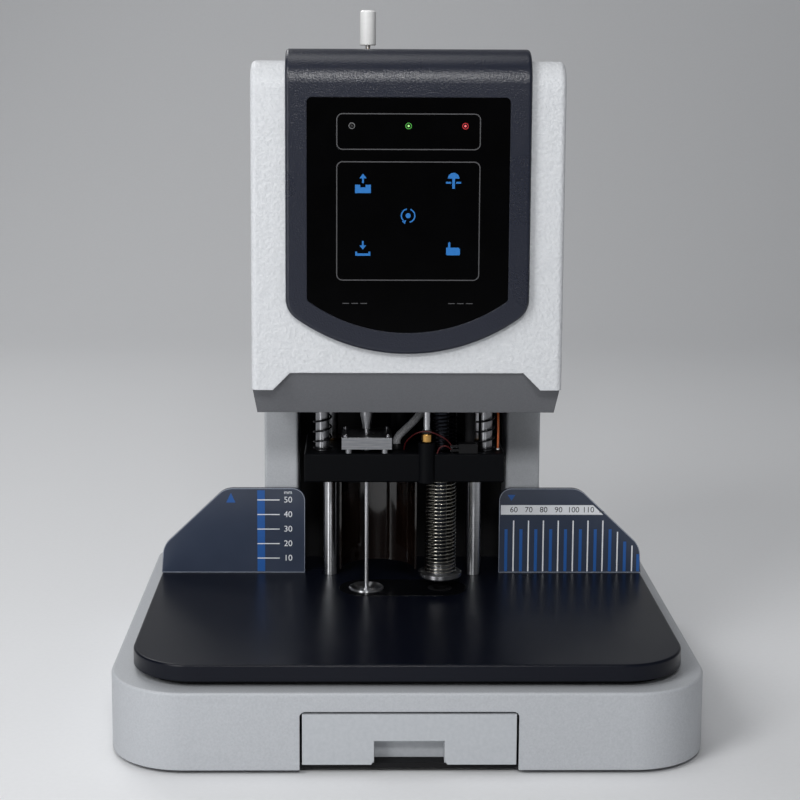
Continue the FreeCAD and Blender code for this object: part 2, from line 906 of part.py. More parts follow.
def column_cover(name, side):
    z = (table_top, head_bottom)
    x = mirrored_span(side, s.column_inner_half, s.column_outer_half)
    shell = prism(f"{name}_column_blank", "XY", rectangle(x, (s.column_front, rear_line)), z)
    dress(shell, "Fillet", s.sheet, lambda edge: along(edge, "z") and near(edge, y=s.column_front))
    inner = mirrored_span(side, s.column_inner_half + s.sheet, s.column_outer_half - s.sheet)
    hollow = box(f"{name}_column_hollow", inner, (s.column_front + s.sheet, rear_line + OVER), past(z))
    return cut(f"{name}_column_cover", shell, [hollow])


def back_panel():
    return box("back_panel", (-s.column_inner_half, s.column_inner_half),
               (s.panel_line, s.panel_line + s.sheet), (table_top, head_bottom))


def rear_cover():
    low, high = s.column_outer_half, s.head_half_width
    outline = [(-low, table_top), (low, table_top), (low, head_bottom), (high, skirt_line), (high, head_top),
               (-high, head_top), (-high, skirt_line), (-low, head_bottom)]
    y = (rear_line, rear_line + s.sheet)
    plate = prism("rear_blank", "XZ", outline, y)
    slots = []
    for row in range(VENT_ROWS):
        slot_low = upper_plate_bottom - s.vent_drop - row * s.vent_pitch
        slots.append(box(f"vent_{row + 1}", (-s.vent_half_width, s.vent_half_width), past(y),
                         (slot_low, slot_low + s.vent_height)))
    return cut("rear_cover", plate, slots)


for side_name, side_sign in sides.items():
    node(column_cover(side_name, side_sign))
node(back_panel())
node(rear_cover())


# Head: cover with a notch in its front, tapered skirt with the floor, bezel, glass, lights, board.

def head_cover():
    half, wall = s.head_half_width, s.cover_wall
    side_view = rectangle((s.head_front, rear_line), (skirt_line, head_top))
    outside = prism("cover_outside", "YZ", side_view, (-half, half))
    dress(outside, "Fillet", s.cover_bend,
          lambda edge: along(edge, "x") and near(edge, y=s.head_front, z=head_top))
    dress(outside, "Fillet", s.cover_edge, lambda edge: edge.BoundBox.XLength < TOUCH
          and (near(edge, z=head_top) or near(edge, y=s.head_front)
               or edge.Curve.TypeId == "Part::GeomCircle"))
    inner_view = rectangle((s.head_front + wall, rear_line + OVER), (skirt_line - OVER, head_top - wall))
    inside = prism("cover_inside", "YZ", inner_view, (-half + wall, half - wall))
    dress(inside, "Fillet", s.cover_bend - wall,
          lambda edge: along(edge, "x") and near(edge, y=s.head_front + wall, z=head_top - wall))
    notch_low = skirt_line - OVER
    notch_view = [(-s.facet_bottom_half, notch_low), (s.facet_bottom_half, notch_low),
                  (s.facet_bottom_half, skirt_line), (s.facet_top_half, facet_top),
                  (-s.facet_top_half, facet_top), (-s.facet_bottom_half, skirt_line)]
    notch = prism("cover_notch", "XZ", notch_view, (s.head_front - OVER, s.head_front + 2 * wall))
    bush_hole = cylinder("cover_bush_hole", bush_radius, needle_at, (head_top - 2 * wall, head_top + OVER))
    return cut("head_cover", outside, [inside, notch, bush_hole])


def head_skirt():
    wall = s.cover_wall
    front = s.head_front + wall
    lip = facet_top + s.facet_lip
    side_view = [(front, facet_top), (s.head_front + s.facet_depth, skirt_line),
                 (s.head_front + s.band_depth, head_bottom), (rear_line, head_bottom),
                 (rear_line, lip), (front, lip)]
    inner_half = s.head_half_width - wall
    front_view = [(-s.column_outer_half, head_bottom), (s.column_outer_half, head_bottom),
                  (s.head_half_width, skirt_line), (inner_half, skirt_line), (inner_half, lip),
                  (-inner_half, lip), (-inner_half, skirt_line), (-s.head_half_width, skirt_line)]
    from_side = prism("skirt_side_view", "YZ", side_view, (-s.head_half_width, s.head_half_width))
    from_front = prism("skirt_front_view", "XZ", front_view, (s.head_front, rear_line))
    outside = common("skirt_outside", from_side, from_front)
    floor = head_bottom + s.sheet
    open_rear, open_top = rear_line + OVER, lip + OVER
    hollow_view = [(front + wall, facet_top), (s.head_front + s.facet_depth + wall, skirt_line),
                   (s.head_front + s.band_depth + wall, floor), (open_rear, floor),
                   (open_rear, open_top), (front + wall, open_top)]
    hollow_half = s.column_outer_half - wall
    hollow = prism("skirt_hollow", "YZ", hollow_view, (-hollow_half, hollow_half))
    through = past((head_bottom, floor))
    mouth = box("skirt_mouth", (-s.head_mouth_half, s.head_mouth_half),
                (s.head_mouth_front, s.head_mouth_back), through)
    return cut("head_skirt", outside, [hollow, mouth] + frame_slots("skirt", through))


def front_outline(half, low, arc, top):
    """Straight sides and top, with an arc below, as (x, z) corners."""
    centre = low + arc
    side_end = centre - root(arc * arc - half * half)
    return [(-half, side_end, arc), (half, side_end), (half, top), (-half, top)]


def lower(edge):
    return edge.BoundBox.Center.z < (facet_top.value + head_top.value) / 2


glass_top = head_top - (s.glass_top_margin - s.bezel_top_thickness)
bush_radius = s.needle_radius + s.needle_bush_wall


def panel_bezel():
    face, back, half = bezel_face, s.bezel_back, s.bezel_half_width
    low = head_bottom + s.bezel_low
    shape = prism("bezel_blank", "XZ", front_outline(half, low, s.bezel_arc, bezel_top), (face, back))
    pocket_through(shape, rectangle((s.head_front, back + OVER), (low - OVER, head_top)), half + OVER)
    dress(shape, "Fillet", s.bezel_corner,
          lambda edge: along(edge, "y") and lower(edge) and edge.BoundBox.YMax < s.head_front.value + TOUCH)
    dress(shape, "Fillet", s.bezel_bend, lambda edge: along(edge, "x") and near(edge, y=face, z=bezel_top))
    dress(shape, "Fillet", s.cover_bend,
          lambda edge: along(edge, "x") and near(edge, y=s.head_front, z=head_top))
    dress(shape, "Fillet", s.bezel_edge, lambda edge: along(edge, "z") and near(edge, y=face))
    glass_low = head_bottom + s.glass_low
    glass_outline = front_outline(s.glass_half_width, glass_low, s.glass_arc, glass_top)
    seat = prism("bezel_glass_seat", "XZ", glass_outline,
                 (face - OVER, face + s.glass_recess + s.glass_thickness))
    dress(seat, "Fillet", s.glass_corner, lambda edge: along(edge, "y"))
    hole = cylinder("bezel_bush_hole", bush_radius, needle_at, past((head_top, bezel_top)))
    return cut("panel_bezel", shape, [seat, hole])


def light_spots():
    return [(step * s.light_spacing, glass_top - s.light_drop) for step in (-1, 0, 1)]


def glass_depth():
    return (bezel_face + s.glass_recess, bezel_face + s.glass_recess + s.glass_thickness)


def touch_panel():
    gap = s.glass_gap
    glass_low = head_bottom + s.glass_low
    y = glass_depth()
    outline = front_outline(s.glass_half_width - gap, glass_low + gap, s.glass_arc - gap, glass_top - gap)
    glass = prism("glass_blank", "XZ", outline, y)
    dress(glass, "Fillet", s.glass_corner - gap, lambda edge: along(edge, "y"))
    holes = [bar(f"glass_light_hole_{number}", s.light_radius + s.light_gap, spot, past(y))
             for number, spot in enumerate(light_spots(), start=1)]
    return cut("touch_panel", glass, holes)


def indicator_lights():
    return group("indicator_lights", [bar(f"light_{number}", s.light_radius, spot, glass_depth())
                                      for number, spot in enumerate(light_spots(), start=1)])


def control_board():
    cover_back = s.head_front + s.cover_wall
    front = cover_back + s.board_post_length
    back = front + s.board_thickness
    low, high = head_bottom + s.glass_low + s.board_rise, glass_top - s.board_top_gap
    half, inset = s.glass_half_width - s.board_inset, s.board_post_inset
    board = box("board_sheet", (-half, half), (front, back), (low, high))
    posts = [bar(f"board_post_{column}_{row}", s.board_post_radius, (side * (half - inset), height),
                 (cover_back, front))
             for column, side in sides.items()
             for row, height in (("low", low + inset), ("high", high - inset))]
    middle, chip_half = (low + high) / 2, s.board_chip_side / 2
    chip = box("board_chip", (-chip_half, chip_half), (back, back + s.board_chip_height),
               (middle - chip_half, middle + chip_half))
    plug_right, plug_low = half - inset, low + 2 * inset
    plug = box("board_plug", (plug_right - s.board_plug_width, plug_right),
               (back, back + s.board_plug_depth), (plug_low, plug_low + s.board_plug_height))
    return fuse("control_board", [board, chip, plug] + posts)


node(head_cover())
node(head_skirt())
node(panel_bezel())
node(touch_panel())
node(indicator_lights())
node(control_board())


# Motors and fixed bearings.

def lift_motor():
    z = (upper_plate_bottom - s.lift_motor_length, upper_plate_bottom)
    body = cylinder("lift_motor_body", s.lift_motor_radius, lift_screw_at, z)
    hole = cylinder("lift_motor_hole", s.journal_radius + s.running_fit, lift_screw_at,
                    (z[0] - OVER, z[0] + s.motor_bore_depth))
    return cut("lift_motor", body, [hole])


def drill_motor():
    z = (upper_plate_bottom - s.drill_motor_length, upper_plate_bottom)
    body = cylinder("drill_motor_body", s.drill_motor_radius, drill_at, z)
    hole = cylinder("drill_motor_hole", s.drive_shaft_radius + s.running_fit, drill_at,
                    (z[0] - OVER, z[0] + s.motor_bore_depth))
    return cut("drill_motor", body, [hole])


def ram_motor():
    half = s.ram_motor_side / 2
    x, y = ram_screw_at
    z = (upper_plate_top, upper_plate_top + s.ram_motor_height)
    body = rounded_block("ram_motor_body", (x - half, x + half), (y - half, y + half), z,
                         s.ram_motor_corner, s.ram_motor_corner)
    hole = cylinder("ram_motor_hole", s.journal_radius + s.running_fit, ram_screw_at,
                    (z[0] - OVER, z[0] + s.motor_bore_depth))
    return cut("ram_motor", body, [hole])


def fixed_bearings():
    """Ram bush, the two bearings of the ram screw, and the bush of the needle in the head's top."""
    plate = (head_plate_bottom, head_plate_top)
    top = (upper_plate_bottom, upper_plate_top)
    fit = s.running_fit
    return group("fixed_bearings", [
        tube("ram_bush", s.small_bearing_radius, s.ram_radius + fit, needle_at, plate),
        tube("lower_screw_bearing", s.small_bearing_radius, s.journal_radius + fit, ram_screw_at, plate),
        tube("upper_screw_bearing", s.small_bearing_radius, s.journal_radius + fit, ram_screw_at, top),
        tube("needle_bush", bush_radius, s.needle_radius + fit, needle_at,
             (head_top - s.cover_wall, bezel_top + s.needle_bush_step))])


node(lift_motor())
node(drill_motor())
node(ram_motor())
node(fixed_bearings())


# Guards in the paper stop plane, with their brackets.

def guard_plate(name, side):
    top = table_top + s.guard_height
    corners = [(s.guard_inner, table_top), (s.guard_outer, table_top),
               (s.guard_slope_end, table_top + s.guard_side_height), (s.guard_slope_x, top),
               (s.guard_inner, top)]
    outline = corners if side > 0 else [(-x, z) for x, z in reversed(corners)]
    plate = prism(f"{name}_guard_plate", "XZ", outline, (s.fence_line, s.fence_line + s.guard_thickness))
    dress(plate, "Fillet", s.guard_corner,
          lambda edge: along(edge, "y") and near(edge, x=side * s.guard_inner, z=top))
    return dress(plate, "Fillet", s.guard_slope_radius,
                 lambda edge: along(edge, "y") and (near(edge, x=side * s.guard_slope_x, z=top)
                                                    or near(edge, x=side * s.guard_slope_end)))


def bracket_centres():
    reach = s.guard_slope_end - s.guard_slope_x
    return (s.guard_slope_x - reach / 5, s.guard_slope_x + reach / 2)


def guard_brackets():
    back = s.fence_line + s.guard_thickness
    half = s.bracket_width / 2
    angles = []
    for name, side in sides.items():
        for number, centre in enumerate(bracket_centres(), start=1):
            x = (side * centre - half, side * centre + half)
            leg = box(f"{name}_bracket_leg_{number}", x, (back, back + s.sheet),
                      (table_top, table_top + s.bracket_height))
            foot = box(f"{name}_bracket_foot_{number}", x, (back, back + s.bracket_foot),
                       (table_top, table_top + s.sheet))
            angles.append(fuse(f"{name}_bracket_{number}", [leg, foot]))
    return group("guard_brackets", angles)


def bracket_screws():
    y = s.fence_line + s.guard_thickness + s.bracket_screw_line
    z = (table_top + s.sheet, table_top + s.sheet + s.screw_head_height)
    return [cylinder(f"{name}_bracket_screw_{number}", s.screw_head_radius, (side * centre, y), z)
            for name, side in sides.items() for number, centre in enumerate(bracket_centres(), start=1)]


def rear_screws():
    y = (rear_line + s.sheet, rear_line + s.sheet + s.screw_head_height)
    edge_in = s.column_outer_half - s.rear_screw_inset
    margin = s.rear_screw_margin
    heights = (table_top + margin, head_bottom - margin, head_top - margin)
    return [bar(f"{name}_rear_screw_{row}", s.screw_head_radius, (side * edge_in, height), y)
            for name, side in sides.items() for row, height in enumerate(heights, start=1)]


for side_name, side_sign in sides.items():
    node(guard_plate(side_name, side_sign))
node(guard_brackets())
node(group("cover_screws", bracket_screws() + rear_screws()))


# Electrics: power supply, inlet, rocker, limit sensors.

def power_supply():
    half = s.supply_width / 2
    back = base_rear - s.shell_wall - s.supply_rear_gap
    return box("power_supply", (-half, half), (back - s.supply_depth, back),
               (floor_top, floor_top + s.supply_height))


def power_inlet():
    """Socket open to the rear, with three flat pins: the middle one stands higher."""
    half_x, half_z = s.inlet_width / 2, s.inlet_height / 2
    x, z, wall = s.inlet_x, s.inlet_centre, s.inlet_wall
    inner = base_rear - s.inlet_depth
    socket_floor = inner + s.inlet_floor
    body = box("inlet_body", (x - half_x, x + half_x), (inner, base_rear), (z - half_z, z + half_z))
    socket = box("inlet_socket", (x - half_x + wall, x + half_x - wall), (socket_floor, base_rear + OVER),
                 (z - half_z + wall, z + half_z - wall))
    solids = [cut("inlet_case", body, [socket])]
    for number, column in enumerate((-1, 0, 1), start=1):
        pin_x = x + column * s.pin_spacing
        pin_z = z + (s.pin_step if column == 0 else -s.pin_step)
        solids.append(box(f"inlet_pin_{number}",
                          (pin_x - s.pin_half_thickness, pin_x + s.pin_half_thickness),
                          (socket_floor - OVER, base_rear - s.pin_recess),
                          (pin_z - s.pin_half_height, pin_z + s.pin_half_height)))
    return fuse("power_inlet", solids)


def power_rocker():
    half, root_half = s.rocker_height / 2, s.rocker_root_half
    middle = s.inlet_centre
    low, high = middle - half, middle + half
    pivot = base_rear - s.rocker_pivot_depth
    side_view = [(pivot - root_half, middle - root_half), (pivot + s.rocker_flank, low),
                 (base_rear - s.rocker_pressed, low), (base_rear - s.rocker_middle, middle),
                 (base_rear - s.rocker_raised, high), (pivot + s.rocker_flank, high),
                 (pivot - root_half, middle + root_half)]
    return prism("power_rocker", "YZ", side_view,
                 (s.rocker_x - s.rocker_width / 2, s.rocker_x + s.rocker_width / 2))


def limit_sensors():
    """Two sensors on a strip beside the path of the position rod's top end."""
    front = s.crosshead_front
    x = (s.boss_x - s.sensor_half_width, s.boss_x + s.sensor_half_width)
    y = (front, s.boss_line - s.boss_radius - 2 * s.free_clearance)
    rod_top = beam_top + s.position_rod_length - s.position_rod_seat
    low, high = rod_top - s.sensor_height - s.sensor_margin, rod_top + s.beam_lift_height
    strip = box("sensor_strip", x, (front - s.sheet, front), (low, high))
    lower_sensor = box("lower_sensor", x, y, (low, low + s.sensor_height))
    upper_sensor = box("upper_sensor", x, y, (high - s.sensor_height, high))
    return fuse("limit_sensors", [strip, lower_sensor, upper_sensor])


node(power_supply())
node(power_inlet())
node(power_rocker())
node(limit_sensors())


# Beam: crossbar with the lead screw's tower, bushes, ram block, boss nut, rod, posts, springs.

def beam():
    outline = rectangle((-s.beam_half_width, s.beam_half_width), (s.beam_front, s.beam_back))
    bar_blank = prism("beam_bar", "XY", outline, (beam_bottom, beam_top))
    dress(bar_blank, "Chamfer", s.beam_edge, lambda edge: True)
    tower_top, boss_top = beam_top + s.tower_height, beam_top + s.boss_height
    boss = cylinder("beam_boss", s.boss_radius, (s.boss_x, s.boss_line), (beam_bottom, boss_top))
    tower = cylinder("beam_tower", s.tower_radius, lift_screw_at, (beam_top - s.tower_root, tower_top))
    blank = fuse("beam_blank", [bar_blank, boss, tower])
    through = past((beam_bottom, beam_top))
    tools = [cylinder("beam_tower_bore", s.tower_bore, lift_screw_at, (beam_top, tower_top + OVER)),
             cylinder("beam_ram_bore", s.ram_radius + s.free_clearance, needle_at, through),
             cylinder("beam_spring_bore", s.strip_spring_radius + s.strip_spring_wire + s.free_clearance,
                      drill_at, past((beam_bottom, boss_top))),
             cylinder("beam_rod_seat", s.position_rod_radius, (s.boss_x, s.boss_line),
                      (beam_top - s.position_rod_seat, boss_top + OVER))]
    for name, side in sides.items():
        tools.append(cylinder(f"beam_{name}_bush_seat", s.bush_radius, rod_at(side), through))
        tools.append(cylinder(f"beam_{name}_post_seat", s.post_radius,
                              (side * s.post_half_spacing, s.tool_line),
                              (beam_top - s.post_seat, beam_top + OVER)))
    return cut("beam", blank, tools)


def beam_bushes():
    z = past((beam_bottom, beam_top))
    return group("beam_bushes", [
        tube(f"{name}_beam_bush", s.bush_radius, s.rod_radius + s.running_fit, rod_at(side), z)
        for name, side in sides.items()])


def ram_block():
    low = beam_top + s.block_rise
    z = (low, low + s.block_height)
    half_x, half_y = s.block_width / 2, s.block_depth / 2
    x, y = needle_at
    plate = box("block_plate", (x - half_x, x + half_x), (y - half_y, y + half_y), z)
    inset = 2 * s.block_foot_radius
    feet = [cylinder(f"block_{name}_{end}_foot", s.block_foot_radius,
                     (x + side * (half_x - inset), y + way * (half_y - inset)), (beam_top, low + OVER))
            for name, side in sides.items() for end, way in (("front", -1), ("rear", 1))]
    bore = cylinder("block_bore", s.ram_radius + s.free_clearance, needle_at, past(z))
    return cut("ram_block", fuse("block_blank", [plate] + feet), [bore])


def boss_nut():
    low = beam_top + s.boss_height
    high = low + s.boss_nut_height
    edge, radius, bore = s.boss_nut_bevel, s.boss_nut_radius, s.position_rod_radius
    profile = [(bore, low), (radius - edge, low), (radius, low + edge),
               (radius, high - edge), (radius - edge, high), (bore, high)]
    return turned("boss_nut", profile, (s.boss_x, s.boss_line))


def position_rod():
    low = beam_top - s.position_rod_seat
    return cylinder("position_rod", s.position_rod_radius, (s.boss_x, s.boss_line),
                    (low, low + s.position_rod_length))


def spring_posts():
    low = beam_top - s.post_seat
    return group("spring_posts", [
        cylinder(f"{name}_spring_post", s.post_radius, (side * s.post_half_spacing, s.tool_line),
                 (low, low + s.post_length)) for name, side in sides.items()])


def post_springs():
    return group("post_springs", [
        spring(f"{name}_post_spring", s.post_spring_radius, s.post_spring_wire, s.post_spring_turns,
               (side * s.post_half_spacing, s.tool_line), (beam_top, head_plate_bottom))
        for name, side in sides.items()])


def lift_nut():
    low = beam_top + s.tower_height
    flange_top, high = low + s.nut_flange, low + s.nut_height
    bore = s.lift_screw_radius + s.running_fit
    profile = [(bore, low), (s.tower_radius, low), (s.tower_radius, flange_top),
               (s.nut_radius, flange_top), (s.nut_radius, high), (bore, high)]
    return turned("lift_nut", profile, lift_screw_at)


node(beam())
node(beam_bushes())
node(ram_block())
node(boss_nut())
node(position_rod())
node(spring_posts())
node(post_springs())
node(lift_nut())


# Drill: bridge with bearings on the beam, spindle, hollow drill, drive shaft, foot and its spring.

def spindle_bridge():
    x, y = drill_at
    housing_radius = s.bearing_radius + s.bridge_wall
    z = (bridge_bottom, bridge_top)
    half_arm = s.bridge_arm / 2
    right_end, rear_end = x + s.pillar_reach, y + s.pillar_reach
    solids = [cylinder("bridge_housing", housing_radius, drill_at, z),
              box("bridge_right_arm", (x, right_end), (y - half_arm, y + half_arm), z),
              box("bridge_rear_arm", (x - half_arm, x + half_arm), (y, rear_end), z)]
    pillar_z = (beam_top, bridge_top)
    for name, spot in (("right", (right_end, y)), ("rear", (x, rear_end))):
        solids.append(cylinder(f"bridge_{name}_pillar", s.pillar_radius, spot, pillar_z))
    seat = cylinder("bridge_bearing_seat", s.bearing_radius, drill_at,
                    (bridge_bottom + s.bridge_wall, bridge_top + OVER))
    hole = cylinder("bridge_spindle_hole", s.spindle_radius + s.free_clearance, drill_at,
                    (bridge_bottom - OVER, bridge_top))
    return cut("spindle_bridge", fuse("bridge_blank", solids), [seat, hole])


def spindle_bearings():
    low = bridge_bottom + s.bridge_wall
    bore = s.spindle_radius + s.running_fit / 3
    return group("spindle_bearings", [
        tube("lower_spindle_bearing", s.bearing_radius, bore, drill_at, (low, low + s.bearing_width)),
        tube("upper_spindle_bearing", s.bearing_radius, bore, drill_at,
             (bridge_top - s.bearing_width, bridge_top))])


drill_tip = table_top + s.foot_gap - s.drill_protrusion
spindle_low = beam_bottom - s.spindle_nose
spindle_high = beam_top + s.spindle_top


def spindle():
    bore = s.drive_shaft_radius + s.running_fit
    shank_end = spindle_low + s.drill_shank
    floor = shank_end + s.spindle_web
    collar = s.spindle_radius + s.spindle_collar
    collar_low = bridge_top + s.free_clearance / 2
    collar_high = collar_low + s.spindle_collar_height
    radius = s.spindle_radius
    profile = [(s.drill_radius, spindle_low), (radius, spindle_low), (radius, collar_low),
               (collar, collar_low), (collar, collar_high), (radius, collar_high),
               (radius, spindle_high), (bore, spindle_high), (bore, floor), (0, floor),
               (0, shank_end), (s.drill_radius, shank_end)]
    return turned("spindle", profile, drill_at)


def hollow_drill():
    high = spindle_low + s.drill_shank
    bore_end = high - s.drill_closed_end
    profile = [(s.drill_bore, drill_tip), (s.drill_bore + s.drill_land, drill_tip),
               (s.drill_radius, drill_tip + s.drill_edge_height), (s.drill_radius, high), (0, high),
               (0, bore_end), (s.drill_bore, bore_end)]
    return turned("hollow_drill", profile, drill_at)


def drive_shaft():
    high = upper_plate_bottom - s.drill_motor_length + s.drive_seat
    return cylinder("drive_shaft", s.drive_shaft_radius, drill_at, (spindle_high - s.drive_engagement, high))


def stripper_foot():
    low = table_top + s.foot_gap
    ledge = low + s.foot_flange_height
    bore = s.drill_radius + s.running_fit
    edge = s.foot_bevel
    profile = [(bore, low), (s.foot_flange_radius - edge, low), (s.foot_flange_radius, low + edge),
               (s.foot_flange_radius, ledge), (s.foot_hub_radius, ledge),
               (s.foot_hub_radius, ledge + s.foot_hub_height), (bore, ledge + s.foot_hub_height)]
    return turned("stripper_foot", profile, drill_at)


def stripper_spring():
    low = table_top + s.foot_gap + s.foot_flange_height
    return spring("stripper_spring", s.strip_spring_radius, s.strip_spring_wire, s.strip_spring_turns,
                  drill_at, (low, bridge_bottom))


def needle_shield():
    spot = (needle_at[0] + s.shield_offset, s.tool_line)
    z = (table_top + s.shield_gap, beam_bottom)
    ring = tube("shield_ring", s.shield_radius, s.shield_radius - s.shield_wall, spot, z)
    front = box("shield_front", past((spot[0] - s.shield_radius, spot[0] + s.shield_radius)),
                (s.tool_line - s.shield_radius - OVER, s.tool_line), past(z))
    return cut("needle_shield", ring, [front])


def thermostat():
    """Black block with two bright blades, on the front edge of the beam."""
    left = drill_at[0] + s.strip_spring_radius + s.strip_spring_wire + s.free_clearance
    front = s.beam_front + s.beam_edge
    solids = [box("thermostat_block", (left, left + s.thermostat_length),
                  (front, front + s.thermostat_depth), (beam_top, beam_top + s.thermostat_height))]
    blade_front = front + s.blade_root
    for number in range(2):
        low = beam_top + s.blade_rise + number * s.blade_pitch
        solids.append(box(f"thermostat_blade_{number + 1}", (left - s.blade_length, left + s.blade_root),
                          (blade_front, blade_front + s.blade_thickness), (low, low + s.blade_width)))
    return fuse("thermostat", solids)


node(spindle_bridge())
node(spindle_bearings())
node(spindle())
node(hollow_drill())
node(drive_shaft())
node(stripper_foot())
node(stripper_spring())
node(needle_shield())
node(thermostat())


# Rivet ram: hollow ram around the needle, crosshead, screw. Lead screw of the beam. Needle.

def rivet_ram():
    nose, nose_top = s.ram_nose_radius, ram_low + s.ram_nose_length
    profile = [(s.ram_bore, ram_low), (nose, ram_low), (nose, ram_low + s.ram_nose_land),
               (s.ram_radius, nose_top), (s.ram_radius, ram_high), (s.ram_bore, ram_high)]
    return turned("rivet_ram", profile, needle_at)


def ram_crosshead():
    z = (ram_high - s.crosshead_plate, ram_high)
    ram_boss = cylinder("crosshead_ram_boss", s.crosshead_boss, needle_at, z)
    nut_boss = cylinder("crosshead_nut_boss", s.crosshead_boss, ram_screw_at, z)
    x1, y1 = needle_at
    x2, y2 = ram_screw_at
    half = s.crosshead_web
    web = prism("crosshead_web", "XY", [(x2 - half, y2 - half), (x1 - half, y1 - half),
                                        (x1 + half, y1 + half), (x2 + half, y2 + half)], z)
    through = past(z)
    holes = [cylinder("crosshead_ram_bore", s.ram_radius, needle_at, through),
             cylinder("crosshead_nut_bore", s.ram_screw_radius + s.running_fit, ram_screw_at, through)]
    return cut("ram_crosshead", fuse("crosshead_solid", [ram_boss, nut_boss, web]), holes)


def ram_screw():
    low, high = head_plate_top + s.ram_screw_gap, upper_plate_bottom - s.ram_screw_gap
    radius, journal = s.ram_screw_radius, s.journal_radius
    end = upper_plate_top + s.journal_reach
    profile = [(0, head_plate_bottom), (journal, head_plate_bottom), (journal, low), (radius, low),
               (radius, high), (journal, high), (journal, end), (0, end)]
    return turned("ram_screw", profile, ram_screw_at)


def lift_screw():
    motor_face = upper_plate_bottom - s.lift_motor_length
    coupling_top = motor_face - s.coupling_gap
    coupling_low = coupling_top - s.coupling_length
    end = motor_face + s.coupling_journal
    low = beam_top + s.beam_lift_height + s.lift_screw_gap
    radius, journal, bevel = s.lift_screw_radius, s.journal_radius, s.lift_screw_bevel
    profile = [(0, low), (radius - bevel, low), (radius, low + bevel), (radius, coupling_low),
               (s.coupling_radius, coupling_low), (s.coupling_radius, coupling_top),
               (journal, coupling_top), (journal, end), (0, end)]
    return turned("lift_screw", profile, lift_screw_at)


knob_low = bezel_top + s.knob_gap
needle_top = knob_low + s.knob_socket


def guide_needle():
    low = table_top - s.needle_depth
    profile = [(0, low), (s.needle_tip_radius, low), (s.needle_radius, low + s.needle_tip),
               (s.needle_radius, needle_top), (0, needle_top)]
    return turned("guide_needle", profile, needle_at)


def needle_knob():
    high = knob_low + s.knob_height
    radius, edge, needle = s.knob_radius, s.knob_edge, s.needle_radius
    profile = [(needle, knob_low), (radius - edge / 2, knob_low), (radius, knob_low + edge / 2),
               (radius, high - edge), (radius - edge, high), (0, high), (0, needle_top),
               (needle, needle_top)]
    return turned("needle_knob", profile, needle_at)


node(rivet_ram())
node(ram_crosshead())
node(ram_screw())
node(lift_screw())
node(guide_needle())
node(needle_knob())


# Scrap drawer: tray with a front panel and a finger notch in its lower edge.

def scrap_drawer():
    wall, half = s.drawer_wall, drawer_half
    panel_back = base_front + s.shell_wall
    tray_half = half - s.drawer_side_gap
    tray_end = base_front + s.drawer_length
    tray_top = drawer_top - s.drawer_rim_drop
    panel_middle = (base_front + panel_back) / 2
    notch_half = s.notch_width / 2
    notch_top = drawer_bottom + s.notch_height
    recess_back = base_front + s.notch_depth
    panel = box("drawer_panel", (-half, half), (base_front, panel_back), (drawer_bottom, drawer_top))
    tray = box("drawer_tray", (-tray_half, tray_half), (panel_middle, tray_end), (drawer_bottom, tray_top))
    hollow = box("drawer_hollow", (-tray_half + wall, tray_half - wall), (panel_back, tray_end - wall),
                 (drawer_bottom + wall, tray_top + OVER))
    recess = box("drawer_recess_wall", (-notch_half - wall, notch_half + wall),
                 (panel_middle, recess_back + wall), (drawer_bottom, notch_top + wall))
    shell = cut("drawer_shell", fuse("drawer_blank", [panel, tray]), [hollow])
    flare, below = s.notch_flare, drawer_bottom - OVER
    notch_view = [(-notch_half - flare, below), (notch_half + flare, below),
                  (notch_half, drawer_bottom + flare), (notch_half, notch_top), (-notch_half, notch_top),
                  (-notch_half, drawer_bottom + flare)]
    notch = prism("drawer_notch", "XZ", notch_view, (base_front - OVER, panel_back))
    pocket = box("drawer_pocket", (-notch_half, notch_half), (panel_middle, recess_back), (below, notch_top))
    return cut("scrap_drawer", fuse("drawer_body", [shell, recess]), [notch, pocket])


node(scrap_drawer())


def check_document():
    """Stops with a list of every object that failed or has no sound shape."""
    faults = [thing.Label for thing in doc.Objects
              if "Invalid" in thing.State or "Error" in thing.State]
    faults += [f"{part.Label} (shape)" for part in nodes
               if part.Shape.isNull() or not part.Shape.isValid() or not part.Shape.Solids]
    if faults:
        raise RuntimeError("failed: " + ", ".join(faults))


doc.recompute()
check_document()
os.makedirs("parts", exist_ok=True)
for part in nodes:
    part.Shape.exportStep(f"parts/{part.Label}.step")
print(len(nodes), "nodes written")
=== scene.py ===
import math

import bmesh
import bpy
from mathutils import Matrix, Vector


